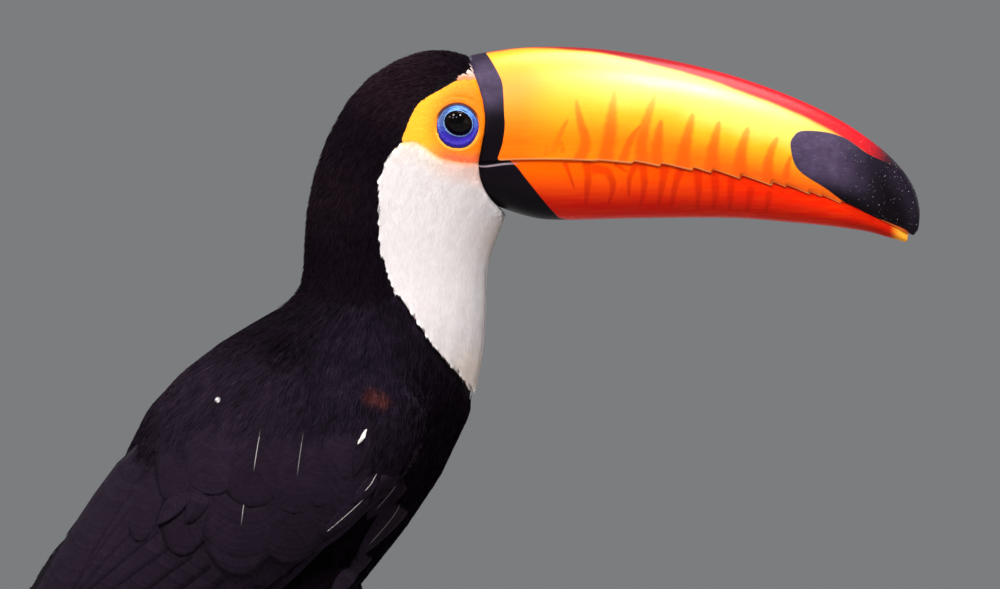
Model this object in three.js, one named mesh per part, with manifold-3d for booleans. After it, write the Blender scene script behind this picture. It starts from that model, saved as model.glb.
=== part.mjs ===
// A life-size toco toucan, standing still: a solid for each part of the bird.
// Millimetres, +Z up. The bird looks along +X and its left side is +Y. The side
// view is drawn in the plane y = 0 as [x, z] pairs, and at the end the whole bird
// is moved so that its origin is the middle of the floor that it covers.
import * as THREE from "three";
import { mergeVertices } from "three/addons/utils/BufferGeometryUtils.js";
import Module from "manifold-3d";

const wasm = await Module();
wasm.setup();

// ---- driving dimensions ----
const GAP = 0.3; // clear space between neighbouring pieces
const EYE_AT = [14, 321]; // middle of the eyeball in the side view
const EYE_RADIUS = 7;
const EYE_OUT = 18.6; // the eyeball's middle, from the mid plane
const LID_RADIUS = 9.6; // outer edge of the bare ring round the eye
const WING_BEND = [8, 191]; // wrist of the folded wing
const WING_TIP = [-158, 43];
const WING_THICK = 7;
const TAIL_ROOT = [-131, 76];
const TAIL_LENGTH = 156;
const TAIL_SLOPES = [33, 24.9]; // degrees below the horizontal, at its root and at its tip
const FOOT_AT = [-46, 5.4]; // where the toes meet, under each leg
const FOOT_OUT = 23;
const ANKLE_AT = [-68, 55];
const TOE_HEIGHT = 2.5; // middle line of the toes above the floor

// ---- colours and finishes ----
const finish = (color, roughness) => new THREE.MeshStandardMaterial({ color, roughness, metalness: 0 });
const BLACK_FEATHER = finish(0x17131a, 0.6);
const WHITE_FEATHER = finish(0xf1ece6, 0.75);
const RED_FEATHER = finish(0xb0201a, 0.7);
const UPPER_HORN = finish(0xf59a12, 0.25);
const LOWER_HORN = finish(0xe8430f, 0.25);
const EYE_BALL = finish(0x0a0708, 0.05);
const EYE_SKIN = finish(0x3f55d6, 0.5);
const LEG_SKIN = finish(0x5f83a8, 0.55);
const CLAW_HORN = finish(0x15161a, 0.35);

// ---- solids ----

// A closed body through rings of points, all of the same count, with its ends filled.
function loft(rings) {
  const count = rings[0].length;
  const middle = (ring) => ring.reduce((sum, p) => sum.add(p), new THREE.Vector3()).divideScalar(count);
  const points = [...rings.flat(), middle(rings[0]), middle(rings.at(-1))];
  const index = [];
  for (let j = 0; j < count; j++) {
    const k = (j + 1) % count;
    for (let i = 0; i + 1 < rings.length; i++) {
      const here = i * count;
      const next = here + count;
      index.push(here + j, here + k, next + k, here + j, next + k, next + j);
    }
    const last = (rings.length - 1) * count;
    index.push(points.length - 2, k, j, points.length - 1, last + j, last + k);
  }
  return solidOf(new THREE.BufferGeometry().setFromPoints(points).setIndex(index));
}

// A manifold solid from a closed geometry, turned right side out.
function solidOf(geometry) {
  geometry.deleteAttribute("normal");
  geometry.deleteAttribute("uv");
  const merged = mergeVertices(geometry, 1e-4);
  const vertProperties = merged.attributes.position.array;
  const triVerts = new Uint32Array(merged.index.array);
  const made = new wasm.Manifold(new wasm.Mesh({ numProp: 3, vertProperties, triVerts }));
  if (made.volume() > 0) return made;
  return new wasm.Manifold(new wasm.Mesh({ numProp: 3, vertProperties, triVerts: triVerts.reverse() }));
}

// A geometry made by three.js, placed by a matrix, as a solid.
const placed = (geometry, matrix) => solidOf(geometry.applyMatrix4(matrix));

const cut = (solid, ...tools) => tools.reduce((left, tool) => left.subtract(tool), solid);

// The mirror image across the mid plane.
const otherSide = (solid) => solid.mirror([0, 1, 0]);

// Everything below the floor, which flattens what stands on it.
const underFloor = placed(
  new THREE.BoxGeometry(800, 400, 40),
  new THREE.Matrix4().makeTranslation(0, 0, -20),
);

// ---- curves through stations ----

// A value between stations, by a Catmull-Rom curve; at counts stations from 0.
function between(values, at) {
  const last = values.length - 1;
  const i = Math.min(Math.max(Math.floor(at), 0), last - 1);
  const pick = (k) => values[Math.min(Math.max(k, 0), last)];
  const [a, b, c, d] = [pick(i - 1), pick(i), pick(i + 1), pick(i + 2)];
  const t = at - i;
  return b + 0.5 * t * (c - a + t * (2 * a - 5 * b + 4 * c - d + t * (3 * (b - c) + d - a)));
}

// A value from a list of [share, value] stations, smooth between them.
function profile(stations, share) {
  const shares = stations.map(([s]) => s);
  let i = shares.findIndex((s) => s >= share);
  i = i < 0 ? shares.length - 1 : Math.max(i, 1);
  const at = i - 1 + (share - shares[i - 1]) / (shares[i] - shares[i - 1]);
  return between(stations.map(([, value]) => value), at);
}

const steps = (count) => Array.from({ length: count + 1 }, (_, i) => i / count);
const point = (x, y, z) => new THREE.Vector3(x, y, z);
const degrees = THREE.MathUtils.degToRad;

// ---- the body: head, neck, trunk and tail coverts ----

// Where each ring meets the back and the belly, its half width, and how far its
// widest place lies from its middle, as a share of its half depth, towards the back.
const BODY = [
  { back: [28, 350], belly: [38, 285], half: 18.5, widest: -0.1 }, // inside the bill's base
  { back: [20, 349.5], belly: [35.5, 283.6], half: 20.5, widest: -0.1 },
  { back: [12, 352], belly: [34.6, 281.6], half: 22.5, widest: -0.05 }, // eyes
  { back: [2, 352.5], belly: [33.6, 279], half: 24, widest: -0.05 },
  { back: [-11.5, 348.5], belly: [32.4, 276], half: 26, widest: 0 }, // crown
  { back: [-26.5, 338.5], belly: [31, 272.5], half: 28, widest: 0 },
  { back: [-37.5, 323.5], belly: [29.4, 268.3], half: 29.5, widest: 0 },
  { back: [-46, 303.5], belly: [27.6, 263], half: 31, widest: 0 }, // nape
  { back: [-50.5, 284], belly: [26.4, 256.5], half: 32.5, widest: 0 },
  { back: [-51.6, 266.5], belly: [26, 248], half: 34, widest: 0 },
  { back: [-52.4, 254.5], belly: [26, 236], half: 36.5, widest: 0.02 }, // neck root
  { back: [-56.5, 245.5], belly: [24.2, 219], half: 41, widest: 0.05 },
  { back: [-71.5, 236.6], belly: [19.5, 197], half: 46, widest: 0.08 }, // breast
  { back: [-92.5, 223.6], belly: [2.5, 162.5], half: 49, widest: 0.08 },
  { back: [-112.2, 206.4], belly: [-17, 136.5], half: 48, widest: 0.05 },
  { back: [-127.6, 183.6], belly: [-36, 113], half: 44, widest: 0 },
  { back: [-133, 150], belly: [-57, 91], half: 37, widest: -0.05 }, // rump
  { back: [-129.5, 118], belly: [-84, 66], half: 29, widest: -0.05 },
  { back: [-139, 96], belly: [-112, 47], half: 22.5, widest: 0 }, // root of the tail
  { back: [-160, 78], belly: [-141, 38], half: 17, widest: 0 },
  { back: [-183, 62], belly: [-168, 32], half: 10, widest: 0 },
];
const HEAD_END = 6.6;
const NECK_END = 10.4;
const TRUNK_END = 16.9;
const RING_POINTS = 24;
const RING_STEP = 0.8; // in stations

function bodyRing(at, grow = 0) {
  const read = (pick) => between(BODY.map(pick), at);
  const back = point(read((s) => s.back[0]), 0, read((s) => s.back[1]));
  const belly = point(read((s) => s.belly[0]), 0, read((s) => s.belly[1]));
  const upwards = back.clone().sub(belly).normalize();
  const depth = back.distanceTo(belly) / 2 + grow;
  const half = read((s) => s.half) + grow;
  const widest = read((s) => s.widest);
  const middle = back.add(belly).multiplyScalar(0.5);
  return steps(RING_POINTS).slice(1).map((share) => {
    const angle = 2 * Math.PI * share;
    const rise = Math.cos(angle) + widest * Math.sin(angle) ** 2;
    const side = Math.sign(Math.sin(angle)) * Math.abs(Math.sin(angle)) ** 0.9;
    return middle.clone().addScaledVector(upwards, depth * rise).setY(half * side);
  });
}

// Rings at the same places along the body whatever its ends, so that neighbours fit.
function bodyBetween(from, to, grow = 0) {
  const first = Math.ceil((from + 0.1) / RING_STEP);
  const last = Math.floor((to - 0.1) / RING_STEP);
  const inner = Array.from({ length: last - first + 1 }, (_, i) => (first + i) * RING_STEP);
  return loft([from, ...inner, to].map((at) => bodyRing(at, grow)));
}

const cutStations = 0.5 * GAP / 12; // half a gap, where stations are about 12 mm apart
const wholeHead = bodyBetween(0, HEAD_END - cutStations);
const neck = bodyBetween(HEAD_END + cutStations, NECK_END - cutStations);
const wholeTrunk = bodyBetween(NECK_END + cutStations, TRUNK_END - cutStations);
const wholeCoverts = bodyBetween(TRUNK_END + cutStations, BODY.length - 1);

// ---- the bill ----

// The line where horn meets skin, drawn down the side of the face.
const FACE_LINE = [
  [15, 362], [20, 347], [24.3, 335], [26.2, 324], [25, 313],
  [23, 303], [24, 295.5], [28.5, 287.5], [37, 281.6], [60, 272],
];

// A block on one side of the face line, through the whole bill.
function besideFace(farX, shift) {
  const line = new THREE.SplineCurve(FACE_LINE.map(([x, z]) => new THREE.Vector2(x + shift, z)));
  const edge = line.getPoints(24);
  const outline = new THREE.Shape([...edge, new THREE.Vector2(farX, 250), new THREE.Vector2(farX, 380)]);
  const block = new THREE.ExtrudeGeometry(outline, { depth: 120, bevelEnabled: false });
  return placed(block, new THREE.Matrix4().makeRotationX(Math.PI / 2).setPosition(0, 60, 0));
}
const inFrontOfFace = besideFace(260, -GAP / 2);
const behindFace = besideFace(-80, GAP / 2);

// Stations of each half: its ridge, its cutting edge, the half width at its widest and at that edge.
const UPPER_BILL = [
  { ridge: [13, 348.2], edge: [14, 304], half: 21, lip: 19 },
  { ridge: [24, 351.2], edge: [24, 304.2], half: 21, lip: 19.4 },
  { ridge: [45, 353.8], edge: [45, 304.9], half: 20.6, lip: 18.8 },
  { ridge: [72, 353.2], edge: [71, 304.6], half: 19.6, lip: 17.4 },
  { ridge: [100, 349.2], edge: [96, 303.2], half: 18.3, lip: 15.8 },
  { ridge: [127, 343], edge: [120, 299.6], half: 16.8, lip: 14 },
  { ridge: [152.5, 334.5], edge: [142.5, 295.1], half: 15, lip: 11.8 },
  { ridge: [174, 324.8], edge: [162.5, 290.2], half: 13, lip: 9.4 },
  { ridge: [190.5, 314.4], edge: [179, 286], half: 11, lip: 7.2 },
  { ridge: [202.5, 304], edge: [191.5, 280.6], half: 9, lip: 5.2 },
  { ridge: [209.6, 294], edge: [200.6, 276.9], half: 7.2, lip: 3.6 },
  { ridge: [212.4, 284.5], edge: [206.4, 274.2], half: 5, lip: 2.4 },
  { ridge: [212.2, 277], edge: [209.8, 272.9], half: 2.6, lip: 1.3 },
];
const LOWER_BILL = [
  { ridge: [18, 292.5], edge: [14, 303.4], half: 18, lip: 17.2 },
  { ridge: [28, 286.6], edge: [25, 303.2], half: 18.6, lip: 17.4 },
  { ridge: [45.5, 280.7], edge: [45, 303.9], half: 18, lip: 16.6 },
  { ridge: [60, 279.5], edge: [60, 304], half: 17.2, lip: 15.8 },
  { ridge: [84, 280], edge: [84, 303.3], half: 15.8, lip: 14.4 },
  { ridge: [109.5, 280.4], edge: [110, 300.6], half: 14.2, lip: 12.6 },
  { ridge: [134.5, 280.2], edge: [135.5, 296], half: 12.2, lip: 10.6 },
  { ridge: [155, 278.6], edge: [157, 290.8], half: 10, lip: 8.4 },
  { ridge: [174, 276.8], edge: [176.5, 285.8], half: 8, lip: 6.4 },
  { ridge: [189, 274.6], edge: [191.5, 279.9], half: 6, lip: 4.6 },
  { ridge: [199, 272], edge: [200.8, 276], half: 4, lip: 3 },
  { ridge: [206.5, 269.9], edge: [207.4, 272.6], half: 1.9, lip: 1.3 },
];
const BILL_SIDE_POINTS = 9;

// One ring of a bill half: up one side from the cutting edge, over the ridge and down the other.
// roundness shapes the ridge: 2 is an ellipse's, and more is broader.
function billRing(stations, at, roundness) {
  const read = (pick) => between(stations.map(pick), at);
  const ridge = point(read((s) => s.ridge[0]), 0, read((s) => s.ridge[1]));
  const edge = point(read((s) => s.edge[0]), 0, read((s) => s.edge[1]));
  const half = read((s) => s.half);
  const lip = read((s) => s.lip);
  const oneSide = steps(BILL_SIDE_POINTS).map((share) => {
    const angle = (Math.PI / 2) * share; // 0 at the cutting edge, a quarter turn at the ridge
    const rise = Math.sin(angle) ** 1.15;
    const bulge = half * (1 - rise ** roundness) ** (1 / roundness);
    const inset = (half - lip) * (1 - rise) ** 3;
    return edge.clone().lerp(ridge, rise).setY(bulge - inset);
  });
  const far = oneSide.slice(0, -1).reverse().map((p) => point(p.x, -p.y, p.z));
  return [...oneSide, ...far];
}

function billHalf(stations, roundness) {
  const last = stations.length - 1;
  return loft(steps(17).map((share) => billRing(stations, share * last, roundness)));
}
const wholeUpperBill = billHalf(UPPER_BILL, 2.15);
const upperBill = cut(wholeUpperBill, behindFace);
const lowerBill = cut(billHalf(LOWER_BILL, 2.3), behindFace, wholeUpperBill.translate([0, 0, -GAP]));

// ---- the eyes, each in a ring of bare skin ----

const [eyeX, eyeZ] = EYE_AT;
const eyeBall = (side, radius) =>
  placed(new THREE.SphereGeometry(radius, 14, 8), new THREE.Matrix4().makeTranslation(eyeX, side * EYE_OUT, eyeZ));

// The ring's section, from its outer edge in the skin to its crest near the eyeball.
function lidRing(side, grow) {
  const outer = LID_RADIUS + grow;
  const section = [
    [0, 14 - grow],
    [outer, 14 - grow],
    [outer, 23.4 + grow],
    [outer - 1.6, 24.9 + grow],
    [5.8, 25.6 + grow],
    [0, 25.6 + grow],
  ];
  const lathe = new THREE.LatheGeometry(section.map(([r, y]) => new THREE.Vector2(r, y)), 14);
  const place = new THREE.Matrix4().makeRotationX(side > 0 ? 0 : Math.PI).setPosition(eyeX - 0.3, 0, eyeZ - 1);
  return placed(lathe, place);
}
const lids = (side) => cut(lidRing(side, 0), eyeBall(side, EYE_RADIUS + GAP));
const head = cut(
  wholeHead,
  inFrontOfFace,
  ...[1, -1].flatMap((side) => [eyeBall(side, EYE_RADIUS + GAP), lidRing(side, GAP)]),
);

// ---- the folded wings ----

// Along the wing from bend to tip: its lower and upper edge across its own line, and how far
// out from the mid plane it lies at the lower edge, in the middle and at the upper edge.
const WING = [
  { along: 0, low: 8, high: 22, outLow: 40, outMiddle: 43, outHigh: 43 },
  { along: 0.03, low: 1, high: 36, outLow: 42, outMiddle: 47, outHigh: 45 },
  { along: 0.1, low: -3, high: 55, outLow: 45, outMiddle: 52, outHigh: 46 },
  { along: 0.2, low: -4, high: 69, outLow: 48, outMiddle: 55, outHigh: 43 },
  { along: 0.35, low: -4, high: 75, outLow: 49, outMiddle: 56, outHigh: 36.5 },
  { along: 0.5, low: -3, high: 79, outLow: 46, outMiddle: 54, outHigh: 17 },
  { along: 0.65, low: -2, high: 75.5, outLow: 41, outMiddle: 49, outHigh: 11 },
  { along: 0.8, low: 0, high: 67.5, outLow: 34, outMiddle: 42, outHigh: 9 },
  { along: 0.9, low: 3, high: 56, outLow: 30, outMiddle: 35, outHigh: 11 },
  { along: 0.96, low: 8, high: 43, outLow: 27, outMiddle: 30, outHigh: 14 },
  { along: 1, low: 16, high: 28, outLow: 25, outMiddle: 26, outHigh: 19 },
];
const [bend, tip] = [new THREE.Vector2(...WING_BEND), new THREE.Vector2(...WING_TIP)];
const wingLine = tip.clone().sub(bend);
const wingAcross = new THREE.Vector2(wingLine.y, -wingLine.x).normalize();

// What the stations say at a place along the wing.
const wingAt = (along, key) => profile(WING.map((s) => [s.along, s[key]]), along);

// A point of the wing's outer face, moved inwards by depth.
function wingPoint(along, across, depth) {
  const read = (key) => wingAt(along, key);
  const reach = THREE.MathUtils.lerp(read("low"), read("high"), across);
  const [low, mid, high] = [read("outLow"), read("outMiddle"), read("outHigh")];
  // The parabola through those three distances, at 0, 0.45 and 1 across.
  const bow = (mid - low - 0.45 * (high - low)) / (0.45 * 0.55);
  const out = low + across * (high - low) + bow * across * (1 - across);
  const lean = Math.atan2(bow * (2 * across - 1) - (high - low), read("high") - read("low"));
  const place = bend
    .clone()
    .addScaledVector(wingLine, along)
    .addScaledVector(wingAcross, reach - depth * Math.sin(lean));
  return point(place.x, -(out - depth * Math.cos(lean)), place.y);
}

// The steps from 0 to 1, with one more before and after them when a margin is asked for.
const stepsAnd = (margin, count) => (margin > 0 ? [-margin, ...steps(count), 1 + margin] : steps(count));

// The wing between an outer and an inner depth, which may depend on the place in it. It
// reaches past its own edges by spare.
function wingSlab(outerDepth, innerDepth, spare = 0) {
  return loft(stepsAnd(spare / wingLine.length(), 16).map((along) => {
    const columns = stepsAnd(spare / (wingAt(along, "high") - wingAt(along, "low")), 7);
    const face = (depth) => columns.map((across) => wingPoint(along, across, depth(along, across)));
    return [...face(outerDepth), ...face(innerDepth).reverse()];
  }));
}
// Full thickness over the body, thin at the upper edge and at the tip.
const wingDepth = (along, across) => {
  const toTip = THREE.MathUtils.lerp(WING_THICK, 2.2, THREE.MathUtils.smoothstep(along, 0.4, 1));
  return toTip * THREE.MathUtils.lerp(1, 0.6, across ** 3);
};
const wingRight = wingSlab(() => 0, wingDepth);
// All that lies outside a wing's inner face is cut from the body.
const roomForWing = wingSlab(() => -40, (along, across) => wingDepth(along, across) + GAP, 3 * GAP);
const cutForWings = [roomForWing, otherSide(roomForWing)];

// ---- the tail, closed, and laid on the floor at its tip ----

// Along the tail from root to tip: half width, half thickness, and how much its sides droop.
const TAIL = [
  { along: -0.12, half: 11, thick: 4.5, droop: 1 },
  { along: 0, half: 13, thick: 4.6, droop: 1.5 },
  { along: 0.2, half: 19, thick: 3.6, droop: 2.5 },
  { along: 0.45, half: 26, thick: 2.6, droop: 3 },
  { along: 0.7, half: 31.5, thick: 2, droop: 3 },
  { along: 0.85, half: 33, thick: 1.6, droop: 2.4 },
  { along: 0.94, half: 30, thick: 1.4, droop: 1.6 },
  { along: 0.985, half: 22, thick: 1.2, droop: 0.8 },
  { along: 1, half: 12, thick: 1, droop: 0.3 },
];
const TAIL_POINTS = 16;
const [rootSlope, tipSlope] = TAIL_SLOPES.map(degrees);
const tailBend = TAIL_LENGTH / (rootSlope - tipSlope); // radius of the arc that it follows

function tailRing(along, grow) {
  const read = (key) => profile(TAIL.map((s) => [s.along, s[key]]), along);
  const slope = THREE.MathUtils.lerp(rootSlope, tipSlope, along);
  const x = TAIL_ROOT[0] - tailBend * (Math.sin(rootSlope) - Math.sin(slope));
  const z = TAIL_ROOT[1] - tailBend * (Math.cos(slope) - Math.cos(rootSlope));
  return steps(TAIL_POINTS).slice(1).map((share) => {
    const angle = 2 * Math.PI * share;
    const side = Math.sin(angle) * (read("half") + grow);
    const rise = Math.cos(angle) * (read("thick") + grow) - read("droop") * Math.sin(angle) ** 2;
    return point(x - Math.sin(slope) * rise, side, z + Math.cos(slope) * rise);
  });
}
const tailFrom = TAIL[0].along;
const tailLoft = (grow) =>
  loft(steps(12).map((share) => tailRing(THREE.MathUtils.lerp(tailFrom, 1, share), grow)));
const tail = cut(tailLoft(0), underFloor);

// The long coverts wrap the tail's root, some over it and some under it.
const betweenCoverts = placed(
  new THREE.BoxGeometry(160, 120, GAP),
  new THREE.Matrix4().makeRotationY(-rootSlope).setPosition(TAIL_ROOT[0], 0, TAIL_ROOT[1]),
);
const [coversOver, coversUnder] = cut(wholeCoverts, tailLoft(GAP), betweenCoverts)
  .decompose()
  .sort((a, b) => b.volume() - a.volume())
  .slice(0, 2)
  .sort((a, b) => b.boundingBox().max[2] - a.boundingBox().max[2]);

// ---- the legs ----

// A limb through stations in the side view: deep is its half size in that view and wide its
// half width. out is how far it lies from the mid plane.
function limb(stations, out, count, pointsRound, grow = 0) {
  const last = stations.length - 1;
  const centre = (at) => [0, 1].map((axis) => between(stations.map((s) => s.at[axis]), at));
  return loft(steps(count).map((share) => {
    const at = share * last;
    const [x, z] = centre(at);
    const [[x0, z0], [x1, z1]] = [centre(Math.max(at - 0.05, 0)), centre(Math.min(at + 0.05, last))];
    const across = new THREE.Vector2(z1 - z0, x0 - x1).normalize();
    const deep = between(stations.map((s) => s.deep), at) + grow;
    const wide = between(stations.map((s) => s.wide), at) + grow;
    return steps(pointsRound).slice(1).map((turn) => {
      const angle = 2 * Math.PI * turn;
      const rise = deep * Math.cos(angle);
      return point(x + across.x * rise, out + wide * Math.sin(angle), z + across.y * rise);
    });
  }));
}

const [ankleX, ankleZ] = ANKLE_AT;
const [footX, footZ] = FOOT_AT;
const THIGH = [
  { at: [-60, 146], deep: 16, wide: 12 },
  { at: [-52, 122], deep: 24, wide: 17 },
  { at: [-50.5, 98], deep: 22, wide: 16.5 },
  { at: [-57, 76], deep: 13.5, wide: 12 },
  { at: [ankleX + 3.2, ankleZ + 6.5], deep: 6.2, wide: 6 },
];
const SHANK = [
  { at: [ankleX + 2.4, ankleZ + 5], deep: 4.6, wide: 4.4 },
  { at: [ankleX, ankleZ - 2], deep: 5, wide: 4.6 },
  { at: [ankleX + 5, ankleZ - 14], deep: 3.5, wide: 3.2 },
  { at: [ankleX + 12, ankleZ - 30], deep: 3.2, wide: 3 },
  { at: [footX - 2.6, footZ + 8], deep: 4, wide: 4.4 },
  { at: [footX - 0.6, footZ], deep: 5.6, wide: 6.4 },
  { at: [footX, -2], deep: 6, wide: 7 },
];
const grownShank = limb(SHANK, 0, 11, 9, GAP);
const grownTrunk = bodyBetween(NECK_END, TRUNK_END, GAP);
const grownCoverts = bodyBetween(TRUNK_END, BODY.length - 1, GAP);
const thigh = cut(
  limb(THIGH, -FOOT_OUT, 7, 12),
  grownTrunk,
  grownCoverts,
  grownShank.translate([0, -FOOT_OUT, 0]),
  ...cutForWings,
);
const shank = cut(limb(SHANK, 0, 11, 9), underFloor);

// Two toes point forwards and two back. root is where each leaves the foot's middle, to the
// front and inwards, heading its direction in degrees inwards of straight ahead.
const TOES = [
  { name: "inner_front", root: [1, 3.2], heading: 12, length: 28 },
  { name: "outer_front", root: [1, -3.2], heading: -14, length: 37 },
  { name: "outer_back", root: [-1, -3.4], heading: -146, length: 34 },
  { name: "inner_back", root: [-1, 3], heading: 158, length: 20 },
];

function toeSolids({ root, heading, length }) {
  const toe = [
    { at: [0, 6], deep: 3.2, wide: 3 },
    { at: [7, 5], deep: 3.3, wide: 3.1 },
    { at: [length * 0.45, TOE_HEIGHT + 0.4], deep: 3, wide: 3 },
    { at: [length * 0.72, TOE_HEIGHT], deep: 2.8, wide: 2.8 },
    { at: [length * 0.93, TOE_HEIGHT], deep: 2.7, wide: 2.6 },
    { at: [length, TOE_HEIGHT + 0.3], deep: 1.9, wide: 1.8 },
  ];
  const claw = [
    { at: [length + GAP, TOE_HEIGHT + 0.7], deep: 1.9, wide: 1.5 },
    { at: [length + 4, TOE_HEIGHT + 1.3], deep: 1.7, wide: 1.2 },
    { at: [length + 8, TOE_HEIGHT + 0.5], deep: 1.2, wide: 0.8 },
    { at: [length + 11.5, TOE_HEIGHT - 1.6], deep: 0.4, wide: 0.3 },
  ];
  const place = (solid) => solid.rotate([0, 0, heading]).translate([footX + root[0], root[1], 0]);
  return { toe: cut(place(limb(toe, 0, 7, 8)), underFloor, grownShank), claw: place(limb(claw, 0, 4, 6)) };
}

// ---- the whole bird ----

const bird = new THREE.Group();

function add(name, solid, material) {
  const { vertProperties, triVerts } = solid.getMesh();
  const geometry = new THREE.BufferGeometry()
    .setAttribute("position", new THREE.BufferAttribute(vertProperties, 3))
    .setIndex(new THREE.BufferAttribute(triVerts, 1));
  geometry.computeVertexNormals();
  const mesh = new THREE.Mesh(geometry, material);
  mesh.name = name;
  bird.add(mesh);
}

// A piece on the bird's right, which is made, and its mirror image on the left.
function addPair(name, solid, material) {
  add(`${name}_right`, solid, material);
  add(`${name}_left`, otherSide(solid), material);
}

add("head", head, BLACK_FEATHER);
add("neck", neck, WHITE_FEATHER);
add("trunk", cut(wholeTrunk, ...cutForWings), BLACK_FEATHER);
add("uppertail_coverts", cut(coversOver, ...cutForWings), WHITE_FEATHER);
add("undertail_coverts", cut(coversUnder, ...cutForWings), RED_FEATHER);
add("tail", tail, BLACK_FEATHER);
add("upper_bill", upperBill, UPPER_HORN);
add("lower_bill", lowerBill, LOWER_HORN);
addPair("eye", eyeBall(-1, EYE_RADIUS), EYE_BALL);
addPair("eyelids", lids(-1), EYE_SKIN);
addPair("wing", wingRight, BLACK_FEATHER);
addPair("thigh", thigh, BLACK_FEATHER);
addPair("shank", shank.translate([0, -FOOT_OUT, 0]), LEG_SKIN);
for (const toe of TOES) {
  const solids = toeSolids(toe);
  addPair(`toe_${toe.name}`, solids.toe.translate([0, -FOOT_OUT, 0]), LEG_SKIN);
  addPair(`claw_${toe.name}`, solids.claw.translate([0, -FOOT_OUT, 0]), CLAW_HORN);
}

// The origin is the middle of the bird's box, on the floor.
const box = new THREE.Box3().setFromObject(bird);
const middle = box.getCenter(new THREE.Vector3());
bird.position.set(-middle.x, -middle.y, -box.min.z);

export default bird;
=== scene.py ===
"""A life-size toco toucan, standing still with its wings folded."""

import bmesh
import bpy
import numpy as np
from mathutils import Matrix, Vector
from mathutils.bvhtree import BVHTree


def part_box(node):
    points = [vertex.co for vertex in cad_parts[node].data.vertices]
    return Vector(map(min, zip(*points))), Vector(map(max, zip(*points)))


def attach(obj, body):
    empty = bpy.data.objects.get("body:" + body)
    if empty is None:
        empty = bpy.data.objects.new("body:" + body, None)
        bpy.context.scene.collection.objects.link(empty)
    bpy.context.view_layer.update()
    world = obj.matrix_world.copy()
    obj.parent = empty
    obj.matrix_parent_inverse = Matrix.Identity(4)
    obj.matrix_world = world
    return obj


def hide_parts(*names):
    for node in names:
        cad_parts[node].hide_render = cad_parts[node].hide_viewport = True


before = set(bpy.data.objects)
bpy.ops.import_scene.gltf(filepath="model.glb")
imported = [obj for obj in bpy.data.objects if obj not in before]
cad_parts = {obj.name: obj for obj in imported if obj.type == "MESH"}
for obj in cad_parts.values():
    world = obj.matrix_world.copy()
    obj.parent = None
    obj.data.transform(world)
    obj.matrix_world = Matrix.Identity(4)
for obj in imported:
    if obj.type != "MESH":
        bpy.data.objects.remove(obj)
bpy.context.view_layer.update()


# ---------------------------------------------------------------------------
# The skin. It covers head, neck, trunk, folded wings and thighs in one piece,
# and is bare only round the eyes. The plumage hides the rest, so the coat's
# outer surface is made first and the skin lies a feather's depth inside it.
# ---------------------------------------------------------------------------

MM = 0.001
EYE = (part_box("eye_right")[0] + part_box("eye_right")[1]) / 2 / MM
EYE_OUT = -EYE.y
# Side views are drawn in millimetres as (x, z), with the eye at these places.
DRAWN_EYE = (14.0, 321.0)
# The padded ring round the eye: its half width and height, and its middle from the eye's.
RING_SIZE = (9.1, 9.65)
RING_OFF = (0.0, -2.05)
SHIFT = EYE.x - DRAWN_EYE[0]

FLESH = ["head", "neck", "trunk", "uppertail_coverts", "undertail_coverts"]
FLESH += [f"{part}_{side}" for part in ("eyelids", "wing", "thigh") for side in ("right", "left")]
GRAIN = 1.6  # mesh size of the surface
SWELL = 0.25  # the surface lies this far over the flesh, so that its parts grow together
# Mm from each eye: the cheek, and how far the surface is levelled to it.
CHEEK, LEVELLED = (12.5, 17.0), 13.0
COAT_DEPTH = 2.2
FACE_DEPTH = 0.25  # where it is bare
WING_DEPTH = 1.3  # more under the wing's stiff feathers
BIB_DEPTH = 0.9  # less under the bib's short ones
SOCKET = 7.0  # and this much more behind each eye's ring
FOLD_GAP, FOLD_HIGH = 3.1, 0.07  # of the fine folds round the eye

# The bare face from the crown's edge back, down and forward again to the bill.
BARE_FACE = [
    (21, 339.6), (15, 339.3), (7, 335), (-1.7, 329.6), (-5.4, 324.3), (-7.7, 318.4), (-9.6, 312.6),
    (-4.5, 312.6), (0.4, 310), (7, 305.6), (17, 303.6), (24, 303.8), (34, 307), (34, 338),
]
# The white bib from the face down its border with the black neck to its tip.
BIB = [
    (-9.6, 312), (-13.2, 309.4), (-16.4, 304.6), (-18.6, 298), (-19.6, 289), (-19.6, 279), (-19, 270),
    (-16.8, 262), (-13.6, 253), (-8, 244), (-1.6, 235), (5, 225.6), (12, 217.6), (18, 211), (26, 206),
    (60, 230), (60, 300), (24, 312), (4, 316),
]
# A sliver of pale skin and down where crown, face and bill meet.
BROW_CORNER = [(13.6, 339.4), (18, 341.2), (21.4, 343.4), (25, 343), (25, 339), (19, 338.4)]

# How the plumage lies, in the side view: a place and the way its feathers point.
LIE = [
    (30, 352, -1, 0.02), (6, 352, -1, -0.18), (-20, 343, -0.85, -0.6), (-40, 318, -0.42, -1),
    (-50, 285, -0.12, -1), (-50, 258, -0.1, -1), (-62, 243, -0.6, -0.8), (-20, 312, -0.5, -0.9),
    (-19, 284, 0.02, -1), (-22, 262, 0.02, -1), (-15, 303, -0.3, -1), (-8, 246, 0.12, -1),
    (5, 305, -0.6, -0.85), (26, 292, -0.55, -0.85), (10, 285, -0.32, -1), (8, 250, -0.18, -1),
    (24, 262, -0.18, -1), (20, 215, -0.3, -1), (-12, 205, -0.2, -1), (-45, 215, -0.28, -1),
    (-82, 218, -0.62, -0.8), (-112, 180, -0.55, -0.85), (-70, 175, -0.35, -1), (-125, 140, -0.45, -0.9),
    (0, 165, -0.5, -0.87), (-25, 125, -0.68, -0.74), (-60, 95, -0.8, -0.6), (-95, 65, -0.9, -0.42),
    (-150, 90, -0.84, -0.54), (-150, 45, -0.88, -0.46), (-50, 90, -0.45, -0.9), (-66, 62, -0.3, -1),
]
# The tail coverts start behind this place, and the tail's root parts white from red.
RUMP = (-116, 96)
TAIL_ROOT = (-131, 76)
TAIL_SLOPE = 33  # degrees
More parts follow.
